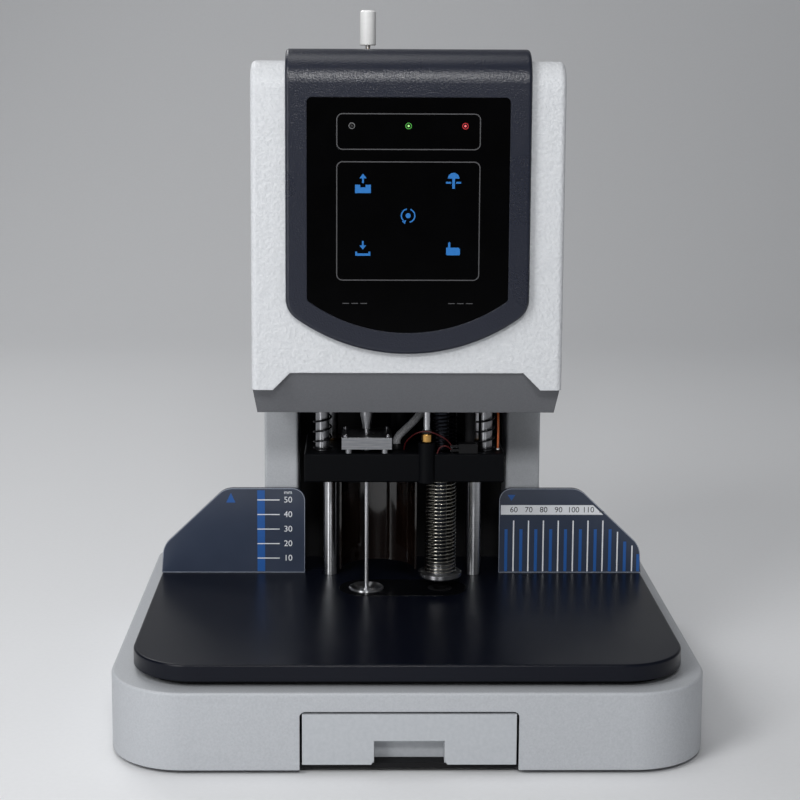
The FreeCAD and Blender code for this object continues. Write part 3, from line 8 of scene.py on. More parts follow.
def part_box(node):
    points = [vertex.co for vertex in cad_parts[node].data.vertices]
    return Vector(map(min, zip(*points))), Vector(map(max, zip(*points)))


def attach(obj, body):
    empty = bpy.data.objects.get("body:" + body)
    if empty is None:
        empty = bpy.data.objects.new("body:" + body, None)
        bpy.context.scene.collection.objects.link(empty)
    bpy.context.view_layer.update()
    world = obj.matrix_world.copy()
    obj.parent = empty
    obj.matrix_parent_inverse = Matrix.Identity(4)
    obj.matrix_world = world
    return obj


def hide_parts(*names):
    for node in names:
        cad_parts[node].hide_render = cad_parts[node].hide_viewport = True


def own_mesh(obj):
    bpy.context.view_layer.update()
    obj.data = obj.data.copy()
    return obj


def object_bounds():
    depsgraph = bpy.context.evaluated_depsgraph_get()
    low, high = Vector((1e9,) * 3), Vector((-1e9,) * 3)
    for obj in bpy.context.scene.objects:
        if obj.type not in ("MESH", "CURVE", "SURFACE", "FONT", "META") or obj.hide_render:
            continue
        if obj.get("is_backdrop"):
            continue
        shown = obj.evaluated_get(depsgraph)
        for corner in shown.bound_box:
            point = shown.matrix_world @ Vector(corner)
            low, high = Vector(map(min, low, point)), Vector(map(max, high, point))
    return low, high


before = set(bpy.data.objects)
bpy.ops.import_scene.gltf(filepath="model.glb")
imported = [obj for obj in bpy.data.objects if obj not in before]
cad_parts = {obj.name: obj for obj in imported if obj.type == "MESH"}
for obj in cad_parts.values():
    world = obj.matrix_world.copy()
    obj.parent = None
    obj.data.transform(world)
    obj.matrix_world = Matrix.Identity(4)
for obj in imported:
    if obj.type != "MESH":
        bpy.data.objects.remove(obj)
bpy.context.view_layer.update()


# ---- Base: skirted housing under the table ------------------------------------------------------
# Sheet steel under a light grey structured enamel, sprayed so that it dries in small soft beads.
# It reaches down round the floor plate. The column and rear covers carry the same enamel.

mm = 0.001


def srgb(code):
    """A hex colour as linear RGBA."""
    channels = [int(code[start:start + 2], 16) / 255 for start in (1, 3, 5)]
    return (*[c / 12.92 if c <= 0.04045 else ((c + 0.055) / 1.055) ** 2.4 for c in channels], 1.0)


def add_node(tree, kind, inputs=None, **settings):
    """Adds a shader node with its settings; each input is a value or a socket to link from."""
    node = tree.nodes.new(kind)
    for name, value in settings.items():
        setattr(node, name, value)
    for name, value in (inputs or {}).items():
        if isinstance(value, bpy.types.NodeSocket):
            tree.links.new(value, node.inputs[name])
        else:
            node.inputs[name].default_value = value
    return node


def surface(name, light, deep, roughness, grain, relief, edge=0.4 * mm, stretch=(1, 1, 1), **sockets):
    """A finish with grain in its colour and relief, clouds in its gloss, and broken edges."""
    cloud_size = 70 * mm
    material = bpy.data.materials.new(name)
    material.use_nodes = True
    tree = material.node_tree
    shader = tree.nodes["Principled BSDF"]
    for socket, value in sockets.items():
        shader.inputs[socket.replace("_", " ")].default_value = value
    place = add_node(tree, "ShaderNodeTexCoord").outputs["Object"]
    drawn = add_node(tree, "ShaderNodeMapping", {"Vector": place, "Scale": stretch}).outputs["Vector"]
    fine = add_node(tree, "ShaderNodeTexNoise",
                    {"Vector": drawn, "Scale": 1 / grain, "Detail": 2.0}).outputs[0]
    cloud = add_node(tree, "ShaderNodeTexNoise", {"Vector": place, "Scale": 1 / cloud_size}).outputs[0]
    tone = add_node(tree, "ShaderNodeMix", {"Factor": fine, 6: srgb(deep), 7: srgb(light)}, data_type="RGBA")
    gloss = add_node(tree, "ShaderNodeMapRange", {"Value": cloud, "To Min": roughness * 0.8,
                                                  "To Max": roughness * 1.2})
    broken = add_node(tree, "ShaderNodeBevel", {"Radius": edge}, samples=4)
    bump = add_node(tree, "ShaderNodeBump", {"Height": fine, "Distance": relief,
                                             "Normal": broken.outputs["Normal"]})
    tree.links.new(tone.outputs[2], shader.inputs["Base Color"])
    tree.links.new(gloss.outputs["Result"], shader.inputs["Roughness"])
    tree.links.new(bump.outputs["Normal"], shader.inputs["Normal"])
    return material


def finish_nodes(material, *names):
    """Gives machined or moulded nodes their finish."""
    for name in names:
        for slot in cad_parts[name].material_slots:
            slot.material = material


base_enamel = surface("structured_enamel_light_grey", "#bcbfc3", "#a6a9ae", 0.48, 1.1 * mm, 0.14 * mm,
                      0.7 * mm)
finish_nodes(base_enamel, "base_shell", "left_column_cover", "right_column_cover", "rear_cover")


# ---- Floor plate, riser and feet ----------------------------------------------------------------
# Folded steel sheet, powder-coated matt black. On the floor plate and the riser the black is
# painted shade, so that the gaps round the drawer and under the table stay dark. The lift and ram
# motors, sensors, spindle bridge and drill pad are as dark. The feet are moulded nitrile rubber.

# On the floor plate and the riser this black is painted shade for the gaps round the drawer and under the
# table.
black_coat_and_painted_shade = surface("matt_black_coat_and_painted_shade", "#121215", "#070709", 0.7, 0.6 * mm, 0.03 * mm,
                     Specular_IOR_Level=0.25)
finish_nodes(black_coat_and_painted_shade, "base_plate", "table_riser", "back_panel", "spindle_bridge", "lift_motor",
             "ram_motor", "limit_sensors", "drill_pad")
rubber = surface("nitrile_rubber", "#262627", "#141414", 0.85, 1.5 * mm, 0.05 * mm)
finish_nodes(rubber, "rubber_feet")


# ---- Scrap drawer -------------------------------------------------------------------------------
# Moulded ABS tray in the grey of the base. It is left as it came from the polished tool, so it is
# smoother than the enamel. The finger notch is moulded in one with it.

drawer_abs = surface("moulded_abs_light_grey", "#bcbfc3", "#aaaeb3", 0.4, 2.2 * mm, 0.02 * mm, 0.5 * mm)
finish_nodes(drawer_abs, "scrap_drawer")


# ---- Table --------------------------------------------------------------------------------------
# Aluminium plate, blasted and anodised black. The fine tooth stays satin, so the rods show in it
# as long soft streaks. The insert round the tools is the same plate, lapped smoother.

table_black = surface("satin_black_anodised_plate", "#0b0f1b", "#060812", 0.3, 0.4 * mm, 0.004 * mm, 0.7 * mm,
                      Specular_IOR_Level=0.2)
finish_nodes(table_black, "table_plate")
finish_nodes(surface("lapped_black_anodised_plate", "#0a0b0f", "#050507", 0.2, 0.5 * mm, 0.002 * mm,
                     Specular_IOR_Level=0.25), "table_insert")


# ---- Lower rivet die, guide rods, needle and other bright steel ---------------------------------
# Hard-chromed and polished bars. Under the chrome the grinding lines still run round the bar,
# too fine to see. They draw every highlight out into a narrow strip along the bar.

def ground_round(material):
    """Spreads a finish's highlights upright, across grinding lines that run round a bar."""
    tree = material.node_tree
    upright = add_node(tree, "ShaderNodeCombineXYZ", {"Z": 1.0})
    tree.links.new(upright.outputs["Vector"], tree.nodes["Principled BSDF"].inputs["Tangent"])
    return material


chrome = ground_round(surface("polished_hard_chrome", "#dcdde0", "#bcbec2", 0.3, 0.5 * mm, 0.001 * mm,
                              0.3 * mm, (0.1, 0.1, 1), Metallic=1.0, Anisotropic=0.95))
finish_nodes(chrome, "lower_rivet_die", "guide_rods", "guide_needle", "position_rod")


# ---- Steel frame inside the covers --------------------------------------------------------------
# Laser-cut plates and a mains unit in zinc-plated sheet: cold grey with faint rolling lines.

zinc = surface("zinc_plated_sheet", "#b3b5b9", "#8b8e93", 0.38, 0.5 * mm, 0.004 * mm, 0.3 * mm, (1, 1, 0.05),
               Metallic=1.0)
finish_nodes(zinc, "lower_crosshead", "side_frames", "head_plate", "upper_plate", "guard_brackets",
             "power_supply")


# ---- Crossbar -----------------------------------------------------------------------------------
# Milled aluminium, anodised a deep matt black. Only its arrises catch the light.

finish_nodes(surface("deep_black_anodised_bar", "#08090d", "#040507", 0.45, 0.8 * mm, 0.01 * mm, 0.6 * mm,
                     Specular_IOR_Level=0.08), "beam")


# ---- Turned brass: nuts, bushes and the heater ring ---------------------------------------------
# Free-cutting brass with fine turning lines round each piece.

brass = surface("turned_brass", "#d2a866", "#8f662e", 0.14, 0.3 * mm, 0.004 * mm, 0.3 * mm, (0.05, 0.05, 1),
                Metallic=1.0)
finish_nodes(brass, "die_heater", "boss_nut", "lift_nut", "fixed_bearings", "beam_bushes")


# ---- Spring posts, spindle and rivet ram --------------------------------------------------------
# Tool steel, ground round and left bare under a wipe of oil, so it is duller than the chrome. The
# hollow drill and its spindle are blued.

tool_steel = ground_round(surface("ground_tool_steel", "#b0b1b4", "#88898d", 0.34, 0.4 * mm, 0.003 * mm,
                                  0.3 * mm, (0.08, 0.08, 1), Metallic=1.0, Anisotropic=0.9))
finish_nodes(tool_steel, "spring_posts", "spindle_bearings", "drive_shaft", "stripper_foot", "rivet_ram")
finish_nodes(surface("blued_tool_steel", "#3a3d44", "#24262b", 0.34, 0.4 * mm, 0.003 * mm, Metallic=1.0),
             "hollow_drill", "spindle")


# ---- Springs ------------------------------------------------------------------------------------
# Cold-drawn wire, coiled with close end turns. The post springs are blackened in oil. The long
# one round the drill is nickel bright; above the crossbar its colour is painted dark as painted shade.

def add_piece(name, mesh, material, body, smooth=False):
    """Turns a bmesh into a piece that rides on a body."""
    bmesh.ops.recalc_face_normals(mesh, faces=mesh.faces)
    data = bpy.data.meshes.new(name)
    mesh.to_mesh(data)
    mesh.free()
    data.materials.append(material)
    if smooth:
        data.shade_smooth()
        data.set_sharp_from_angle(angle=math.radians(35))
    piece = bpy.data.objects.new(name, data)
    bpy.context.scene.collection.objects.link(piece)
    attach(piece, body)
    return piece


def coil(mesh, axis, low, high, radius, wire, turns, steps=28, sides=10):
    """Adds a compression spring of round wire, from one end face to the other."""
    rings = []
    closed_pitch = 2.1 * wire
    open_pitch = (high - low - 2 * wire - 2 * closed_pitch) / (turns - 2)
    for step in range(turns * steps + 1):
        turn_done = step / steps
        open_turns = min(max(turn_done - 1, 0), turns - 2)
        height = low + wire + open_turns * open_pitch + (turn_done - open_turns) * closed_pitch
        angle = math.tau * turn_done
        outward = Vector((math.cos(angle), math.sin(angle), 0))
        rings.append([mesh.verts.new(Vector((*axis, height)) + outward * (radius + wire * math.cos(b))
                                     + Vector((0, 0, wire * math.sin(b))))
                      for b in [math.tau * side / sides for side in range(sides)]])
    for first, second in zip(rings, rings[1:]):
        for start in range(sides):
            end = (start + 1) % sides
            mesh.faces.new((first[start], first[end], second[end], second[start]))
    mesh.faces.new(rings[0][::-1])
    mesh.faces.new(rings[-1])


oil_black_wire = surface("oil_blackened_spring_wire", "#2c2c30", "#161618", 0.32, 0.5 * mm, 0.004 * mm,
                         Metallic=0.8)
springs_low, springs_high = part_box("post_springs")
post_coil, post_wire, post_turns = 5.6 * mm, 0.6 * mm, 13
post_coils = bmesh.new()
post_y = (springs_low.y + springs_high.y) / 2
for x in (springs_low.x + post_coil + post_wire, springs_high.x - post_coil - post_wire):
    coil(post_coils, (x, post_y), springs_low.z, springs_high.z, post_coil, post_wire, post_turns)
post_coils = add_piece("post_spring_coils", post_coils, oil_black_wire, "beam", smooth=True)
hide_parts("post_springs")
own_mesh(post_coils)

nickel_wire = surface("nickel_bright_spring_wire", "#bdbab2", "#85827a", 0.16, 0.5 * mm, 0.003 * mm,
                      Metallic=1.0)
wire_tree = nickel_wire.node_tree
wire_shader = wire_tree.nodes["Principled BSDF"]
wire_height = add_node(wire_tree, "ShaderNodeSeparateXYZ",
                       {"Vector": add_node(wire_tree, "ShaderNodeTexCoord").outputs["Object"]})
# Above the crossbar the wire turns dark: painted shade where the coils run behind the crossbar into the head.
painted_shade_low, painted_shade_high = 138 * mm, 152 * mm
painted_shade_mask = add_node(wire_tree, "ShaderNodeMapRange",
                   {"Value": wire_height.outputs["Z"], "From Min": painted_shade_low, "From Max": painted_shade_high})
wire_colour = wire_shader.inputs["Base Color"].links[0].from_socket
wire_and_painted_shade_tones = add_node(wire_tree, "ShaderNodeMix", {"Factor": painted_shade_mask.outputs["Result"], 6: wire_colour,
                                                   7: srgb("#17161a")}, data_type="RGBA")
wire_tree.links.new(wire_and_painted_shade_tones.outputs[2], wire_shader.inputs["Base Color"])

strip_low, strip_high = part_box("stripper_spring")
strip_wire, strip_turns = 0.55 * mm, 47
strip_coil = (strip_high.x - strip_low.x) / 2 - strip_wire
stripper_coil = bmesh.new()
coil(stripper_coil, ((strip_low.x + strip_high.x) / 2, (strip_low.y + strip_high.y) / 2), strip_low.z,
     strip_high.z, strip_coil, strip_wire, strip_turns)
stripper_coil = add_piece("stripper_spring_coil", stripper_coil, nickel_wire, "beam",
                          smooth=True)
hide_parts("stripper_spring")
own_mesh(stripper_coil)


# ---- Lead screws --------------------------------------------------------------------------------
# Rolled steel screws. In place of the helix the finish has level rings, 4 mm apart, as relief and
# as painted shade, dark in the grooves.

screw_steel = surface("rolled_screw_steel", "#b0b2b5", "#8b8d90", 0.26, 0.4 * mm, 0.002 * mm, Metallic=1.0)
screw_tree = screw_steel.node_tree
screw_shader = screw_tree.nodes["Principled BSDF"]
screw_height = add_node(screw_tree, "ShaderNodeSeparateXYZ",
                        {"Vector": add_node(screw_tree, "ShaderNodeTexCoord").outputs["Object"]})
half_spacing = 2 * mm
groove = add_node(screw_tree, "ShaderNodeMath", {0: screw_height.outputs["Z"], 1: half_spacing},
                  operation="PINGPONG")
depth = add_node(screw_tree, "ShaderNodeMapRange", {"Value": groove.outputs[0], "From Max": half_spacing})
# The dark tone in each groove is painted shade.
groove_painted_shade_tones = add_node(screw_tree, "ShaderNodeMix", {"Factor": depth.outputs["Result"], 6: srgb("#4a4b4d"),
                                                      7: srgb("#b0b2b5")}, data_type="RGBA")
thread_bump = add_node(screw_tree, "ShaderNodeBump", {"Height": depth.outputs["Result"],
                                                      "Distance": 0.6 * mm})
screw_tree.links.new(groove_painted_shade_tones.outputs[2], screw_shader.inputs["Base Color"])
screw_tree.links.new(thread_bump.outputs["Normal"], screw_shader.inputs["Normal"])
finish_nodes(screw_steel, "lift_screw", "ram_screw")


# ---- Milled block of the rivet ram --------------------------------------------------------------
# Aluminium, face-milled: bright, with level tool lines along its length. Four small cap screws
# hold it down at its corners.

milled = surface("milled_aluminium", "#b0b1b4", "#6b6d71", 0.34, 0.45 * mm, 0.03 * mm, 0.3 * mm,
                 (0.04, 1, 1), Metallic=1.0)
finish_nodes(milled, "ram_block", "ram_crosshead", "drill_motor")


def turn(mesh, place, profile, sides=32):
    """Adds a solid turned round the place's Z, from (radius, height) points on a closed section."""
    rings = []
    for radius, height in profile:
        angles = [math.tau * step / sides for step in range(sides)] if radius else [0.0]
        rings.append([mesh.verts.new(place @ Vector((radius * math.cos(a), radius * math.sin(a), height)))
                      for a in angles])
    for low, high in zip(rings, rings[1:]):
        for start in range(sides):
            end = (start + 1) % sides
            corners = (low[start % len(low)], low[end % len(low)], high[end % len(high)],
                       high[start % len(high)])
            mesh.faces.new(tuple(dict.fromkeys(corners)))


def socket_screw(mesh, place, radius, height, rim, sides=24):
    """Adds a round head with a bevelled rim and a hexagon socket, its axis along the place's Z."""
    socket, drop, per_side = radius * 0.5, height * 0.6, sides // 6
    loops = [[(ring * math.cos(math.tau * step / sides), ring * math.sin(math.tau * step / sides), z)
              for step in range(sides)]
             for ring, z in ((radius, 0), (radius, height - rim), (radius - rim, height))]
    for z in (height, height - drop):
        corners = [Vector((math.cos(math.tau * side / 6), math.sin(math.tau * side / 6))) * socket
                   for side in range(7)]
        loops.append([(*corners[step // per_side].lerp(corners[step // per_side + 1],
                                                       step % per_side / per_side), z)
                      for step in range(sides)])
    rings = [[mesh.verts.new(place @ Vector(point)) for point in loop] for loop in loops]
    for low, high in zip(rings, rings[1:]):
        for start in range(sides):
            end = (start + 1) % sides
            mesh.faces.new((low[start], low[end], high[end], high[start]))
    mesh.faces.new(rings[0][::-1])
    mesh.faces.new(rings[-1])


block_low, block_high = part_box("ram_block")
block_screws = bmesh.new()
screw_inset, seat = 2.5 * mm, 0.05 * mm
cap_radius, cap_height, cap_rim = 1.6 * mm, 1.5 * mm, 0.25 * mm
for x in (block_low.x + screw_inset, block_high.x - screw_inset):
    for y in (block_low.y + screw_inset, block_high.y - screw_inset):
        spot = Matrix.Translation((x, y, block_high.z - seat))
        socket_screw(block_screws, spot, cap_radius, cap_height, cap_rim)
add_piece("block_cap_screws", block_screws, tool_steel, "beam", smooth=True)


# ---- Wiper ring on the position rod -------------------------------------------------------------
# Moulded nitrile ring, slipped over the bright rod on top of its brass nut. It keeps paper dust
# out of the thread.

nut_low, nut_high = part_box("boss_nut")
wiper_bore, wiper_radius, wiper_neck, wiper_height = 2.28 * mm, 3.2 * mm, 2.7 * mm, 2.2 * mm
wiper = bmesh.new()
turn(wiper, Matrix.Translation(((nut_low.x + nut_high.x) / 2, (nut_low.y + nut_high.y) / 2, nut_high.z)),
     [(wiper_bore, 0), (wiper_radius, 0), (wiper_radius, wiper_height * 0.55), (wiper_neck, wiper_height),
      (wiper_bore, wiper_height), (wiper_bore, 0)])
bmesh.ops.remove_doubles(wiper, verts=wiper.verts, dist=0.01 * mm)
add_piece("rod_wiper", wiper, rubber, "beam", smooth=True)


# ---- Smoked guard behind the needle -------------------------------------------------------------
# Bent polycarbonate sheet, smoke brown. It is clear and glossy, with light scuffs from paper.

smoked = surface("smoked_polycarbonate", "#33211a", "#231610", 0.07, 6 * mm, 0.01 * mm, 0.2 * mm, IOR=1.58,
                 Transmission_Weight=0.85)
finish_nodes(smoked, "needle_shield")


# ---- Heater sleeve, thermostat and its leads ----------------------------------------------------
# A braided polyester sleeve brings the heater's leads up from the crossbar to the lift tube.
# Thin red silicone leads are soldered to the thermostat's blades. A thicker orange one runs up
# from the crossbar to the spindle bridge.

phenolic = surface("moulded_phenolic_black", "#131315", "#09090a", 0.4, 0.8 * mm, 0.02 * mm,
                   Specular_IOR_Level=0.2)
finish_nodes(phenolic, "thermostat", "power_inlet")

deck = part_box("thermostat")[0].z


def lead(name, points, radius, material, body):
    """A round flexible lead on a smooth line near its route's points, in millimetres."""
    curve = bpy.data.curves.new(name, "CURVE")
    curve.dimensions = "3D"
    curve.bevel_depth = radius
    curve.bevel_resolution = 5
    curve.use_fill_caps = True
    spline = curve.splines.new("NURBS")
    spline.points.add(len(points) - 1)
    for control, (x, y, z) in zip(spline.points, points):
        control.co = (x * mm, y * mm, deck + z * mm, 1.0)
    spline.order_u = 3
    spline.use_endpoint_u = True
    spline.resolution_u = 12
    curve.materials.append(material)
    piece = bpy.data.objects.new(name, curve)
    bpy.context.scene.collection.objects.link(piece)
    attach(piece, body)


sleeve_radius, sleeve_foot_x, sleeve_foot_y = 2.5 * mm, -4.6, 6
braid = surface("braided_polyester_sleeve", "#c6c7ca", "#4d4e52", 0.55, 1 * mm, 0.3 * mm, 0.1 * mm)
lead("heater_sleeve", [(sleeve_foot_x, sleeve_foot_y, -0.3), (-4.8, 6, 3.5), (-4.4, 6.2, 7.6), (3, 8, 14),
                       (9.4, 10.5, 20), (13.2, 15, 25), (12, 21.5, 26.8), (7.5, 27, 27), (4.4, 30, 27)],
     sleeve_radius, braid, "beam")
gland_radius, gland_neck, gland_sink = 3.3 * mm, 2.7 * mm, 0.1 * mm
gland_height, gland_bevel = 3.4 * mm, 1 * mm
gland = bmesh.new()
turn(gland, Matrix.Translation((sleeve_foot_x * mm, sleeve_foot_y * mm, deck)),
     [(0, -gland_sink), (gland_radius, -gland_sink), (gland_radius, gland_height - gland_bevel),
      (gland_neck, gland_height), (0, gland_height)])
add_piece("sleeve_gland", gland, phenolic, "beam", smooth=True)

red_silicone = surface("silicone_lead_dark_red", "#5c0f13", "#3b090b", 0.4, 1 * mm, 0.01 * mm)
orange_silicone = surface("silicone_lead_orange", "#c8642a", "#9a4416", 0.4, 1 * mm, 0.01 * mm)
thin_lead, thick_lead = 0.4 * mm, 0.7 * mm
lead("thermostat_lead_1", [(30.4, -7.4, 4.2), (28.5, -9.4, 8), (22, -11.2, 12.5), (14.3, -11.6, 15.4),
                           (7.5, -9.5, 13.6), (2.5, -3, 8), (0.5, 1, 4), (0, 2, -0.2)],
     thin_lead, red_silicone, "beam")
lead("thermostat_lead_2", [(30.4, -7.4, 1.6), (28.2, -9.6, 4.6), (24.6, -9.9, 5.4), (21.6, -9.2, 3),
                           (21, -8.9, -0.2)],
     thin_lead, red_silicone, "beam")
lead("bearing_lead", [(60.6, 2, 0.5), (60.8, 2.2, 9), (60.8, 3, 19), (60.8, 7, 26), (58, 12, 28.6),
                      (51, 13.5, 29), (46.5, 10.5, 28.8), (44.3, 5.6, 28.6)],
     thick_lead, orange_silicone, "beam")

solder = surface("bright_solder", "#f4f5f6", "#dcdee1", 0.34, 1 * mm, 0.05 * mm, Metallic=1.0)
terminals = bmesh.new()
bead = [(0, 0), (1.1 * mm, 0), (1.25 * mm, 0.5 * mm), (1.0 * mm, 1.1 * mm), (0.5 * mm, 1.5 * mm),
        (0, 1.6 * mm)]
for x, y, z in ((30.6, -6.4, 4.0), (30.6, -6.4, 1.4), (33.4, -6.0, 4.0), (60.6, 2, 0)):
    lean = Matrix.Rotation(math.radians(90 if y < 0 else 0), 4, "X")
    turn(terminals, Matrix.Translation((x * mm, y * mm, deck + z * mm)) @ lean, bead, 20)
add_piece("solder_beads", terminals, solder, "beam", smooth=True)


# ---- Head: cover, skirt and bezel ---------------------------------------------------------------
# Sheet-steel cover in pale grey structured enamel with a soft leather-like bead. The skirt with
# the head's floor has a finer one in mid grey, which is painted shade under the head's overhang.
# The bezel is charcoal ABS, spark-eroded.

head_enamel = surface("structured_enamel_pale_grey", "#dee0e3", "#c3c6ca", 0.4, 1.8 * mm, 0.6 * mm, 0.9 * mm)
finish_nodes(head_enamel, "head_cover")
# The skirt's mid grey is painted shade: the same pale enamel, darkened as if shaded by the head.
skirt_enamel_painted_shade = surface("structured_enamel_grey_painted_shade", "#76777b", "#66686c", 0.5, 1.1 * mm, 0.1 * mm, 0.7 * mm)
finish_nodes(skirt_enamel_painted_shade, "head_skirt")
bezel_abs = surface("grained_abs_charcoal", "#1f2435", "#0f121b", 0.28, 1 * mm, 0.21 * mm, 0.8 * mm)
finish_nodes(bezel_abs, "panel_bezel")
finish_nodes(surface("solder_resist_green", "#1a6b42", "#0c4227", 0.4, 2 * mm, 0.02 * mm), "control_board")


# ---- Touch panel --------------------------------------------------------------------------------
# Hardened glass with a black printed back and an etched coating that keeps reflections down.
# The frame lines, key symbols and dashes are screen-printed and lit from behind.

finish_nodes(surface("coated_black_glass", "#050506", "#020202", 0.08, 20 * mm, 0, 0.3 * mm,
                     Specular_IOR_Level=0.06), "touch_panel")


def lit_ink(name, light, deep, glow):
    """Translucent screen ink with a lamp behind it, thinner in some grains than in others."""
    return surface(name, light, deep, 0.4, 0.4 * mm, 0.002 * mm, 0.01 * mm, Emission_Color=srgb(light),
                   Emission_Strength=glow)


def slab(mesh, outline, near, far):
    """Adds a thin solid on an outline of (x, z) points, between two depths."""
    front = [mesh.verts.new((x, near, z)) for x, z in outline]
    back = [mesh.verts.new((x, far, z)) for x, z in outline]
    mesh.faces.new(front)
    mesh.faces.new(back[::-1])
    for start in range(len(outline)):
        end = (start + 1) % len(outline)
        mesh.faces.new((front[end], front[start], back[start], back[end]))


def line(mesh, path, width, near, far, closed=False):
    """Adds a line of even width along (x, z) points."""
    left, right = [], []
    last = len(path) - 1
    for index, point in enumerate(path):
        before = path[index - 1] if index or closed else point
        after = path[(index + 1) % len(path)] if index < last or closed else point
        way = Vector((after[0] - before[0], after[1] - before[1])).normalized() * width / 2
        left.append((point[0] - way.y, point[1] + way.x))
        right.append((point[0] + way.y, point[1] - way.x))
    if not closed:
        slab(mesh, right + left[::-1], near, far)
        return
    rings = [[mesh.verts.new((x, depth, z)) for x, z in side]
             for side, depth in ((right, near), (left, near), (left, far), (right, far))]
    for ring, following in zip(rings, rings[1:] + rings[:1]):
        for start in range(len(path)):
            end = (start + 1) % len(path)
            mesh.faces.new((ring[start], ring[end], following[end], following[start]))


def arc(x, z, radius, first, last, steps=32):
    """Points on an arc, its angles in degrees from +X."""
    angles = [math.radians(first + (last - first) * step / steps) for step in range(steps + 1)]
    return [(x + radius * math.cos(a), z + radius * math.sin(a)) for a in angles]


def rounded(corners, steps=8):
    """A path round corners given as (x, z, radius), counter-clockwise and bulging outwards."""
    path = []
    for index, (x, z, radius) in enumerate(corners):
        corner = Vector((x, z))
        before = (Vector(corners[index - 1][:2]) - corner).normalized()
        after = (Vector(corners[(index + 1) % len(corners)][:2]) - corner).normalized()
        half = before.angle(after) / 2
        centre = corner + (before + after).normalized() * radius / math.sin(half)
        arm = corner + before * radius / math.tan(half) - centre
        turned = [centre + Matrix.Rotation((math.pi - 2 * half) * step / steps, 2) @ arm
                  for step in range(steps + 1)]
        path += [tuple(point) for point in turned] if radius else [(x, z)]
    return path


glass_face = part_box("touch_panel")[0].y
ink_near, ink_far = glass_face - 0.03 * mm, glass_face + 0.02 * mm
frame_half, frame_corner, frame_line = 42.6 * mm, 3.4 * mm, 0.6 * mm

lights_frame, keys_frame = (350.4 * mm, 371.4 * mm), (272.2 * mm, 343.0 * mm)
panel_lines = bmesh.new()
for low, high in (lights_frame, keys_frame):
    line(panel_lines, rounded([(-frame_half, low, frame_corner), (frame_half, low, frame_corner),
                               (frame_half, high, frame_corner), (-frame_half, high, frame_corner)]),
         frame_line, ink_near, ink_far, closed=True)
dash_height, dash_length, dash_pitch, dash_start = 258.1 * mm, 3.9 * mm, 5.4 * mm, 24.4 * mm
dash_width = 0.45 * mm
for side in (-1, 1):
    for step in range(3):
        ends = sorted(side * (dash_start + step * dash_pitch + reach) for reach in (0, dash_length))
        line(panel_lines, [(end, dash_height) for end in ends], dash_width, ink_near, ink_far)
add_piece("panel_lines", panel_lines, lit_ink("screen_ink_grey", "#4b4b4d", "#404042", 0.05), "frame")

# Key symbols: a tray with an arrow out, a punch, a turning arrow, a tray with an arrow in, a hand.
symbols = bmesh.new()
key_column, key_top, key_middle, key_bottom = 27 * mm, 331 * mm, 311 * mm, 291.2 * mm
turning_radius, turning_width = 4 * mm, 0.75 * mm
arrow_out = [(-0.55, -0.6), (0.55, -0.6), (0.55, 2.2), (2.15, 2.2), (0, 5.0), (-2.15, 2.2), (-0.55, 2.2)]
tray_out = [(-4.7, -6.6), (4.7, -6.6), (4.7, -1.6), (1.6, -1.6), (1.6, -3.2), (-1.6, -3.2), (-1.6, -1.6),
            (-4.7, -1.6)]
punch = arc(0, 2.2, 3.45, 0, 180, 16) + [(-0.8, 2.2), (-0.8, -3.8), (0.8, -3.8), (0.8, 2.2)]
punch_sides = [[(side * 1.5 + reach, -0.8), (side * 1.5 + reach + 3.0, -0.8), (side * 1.5 + reach + 3.0, 0.3),
                (side * 1.5 + reach, 0.3)] for side, reach in ((1, 0), (-1, -3.0))]
arrow_in = [(-0.5, 4.6), (-0.5, 1.9), (-2.0, 1.9), (0, -0.6), (2.0, 1.9), (0.5, 1.9), (0.5, 4.6)]
tray_in = [(-4.5, -4.3), (4.5, -4.3), (4.5, -1.8), (3.4, -1.8), (3.4, -2.9), (-3.4, -2.9), (-3.4, -1.8),
           (-4.5, -1.8)]
hand = [(-4.1, -3.3), (-3.6, -3.9), (3.7, -3.9), (4.2, -3.3), (4.2, -0.2), (3.3, 0.7), (-1.6, 0.7),
        (-1.6, 3.6), (-2.2, 4.1), (-2.9, 3.6), (-2.9, 0.7), (-4.1, 0.7)]
turning_head = [(-1.9, -5.0), (-1.2, -2.6), (-3.6, -3.4)]
for shape, x, z in ((arrow_out, -key_column, key_top), (tray_out, -key_column, key_top),
                    (punch, key_column, key_top), (punch_sides[0], key_column, key_top),
                    (punch_sides[1], key_column, key_top), (arrow_in, -key_column, key_bottom),
                    (tray_in, -key_column, key_bottom), (hand, key_column, key_bottom),
                    (arc(0, 0, 1.5, 0, 350, 28), 0, key_middle), (turning_head, 0, key_middle)):
    slab(symbols, [(x + across * mm, z + up * mm) for across, up in shape], ink_near, ink_far)
for first, last in ((-75, 70), (100, 235)):
    line(symbols, arc(0, key_middle, turning_radius, first, last), turning_width, ink_near, ink_far)
add_piece("key_symbols", symbols, lit_ink("screen_ink_blue", "#1a6fba", "#155f9f", 0.12), "frame")


# ---- Indicator lights ---------------------------------------------------------------------------
# Clear acrylic light guides in the glass. The left one is off; a green and a red one are lit,
# each with a printed ring round a small bright middle.

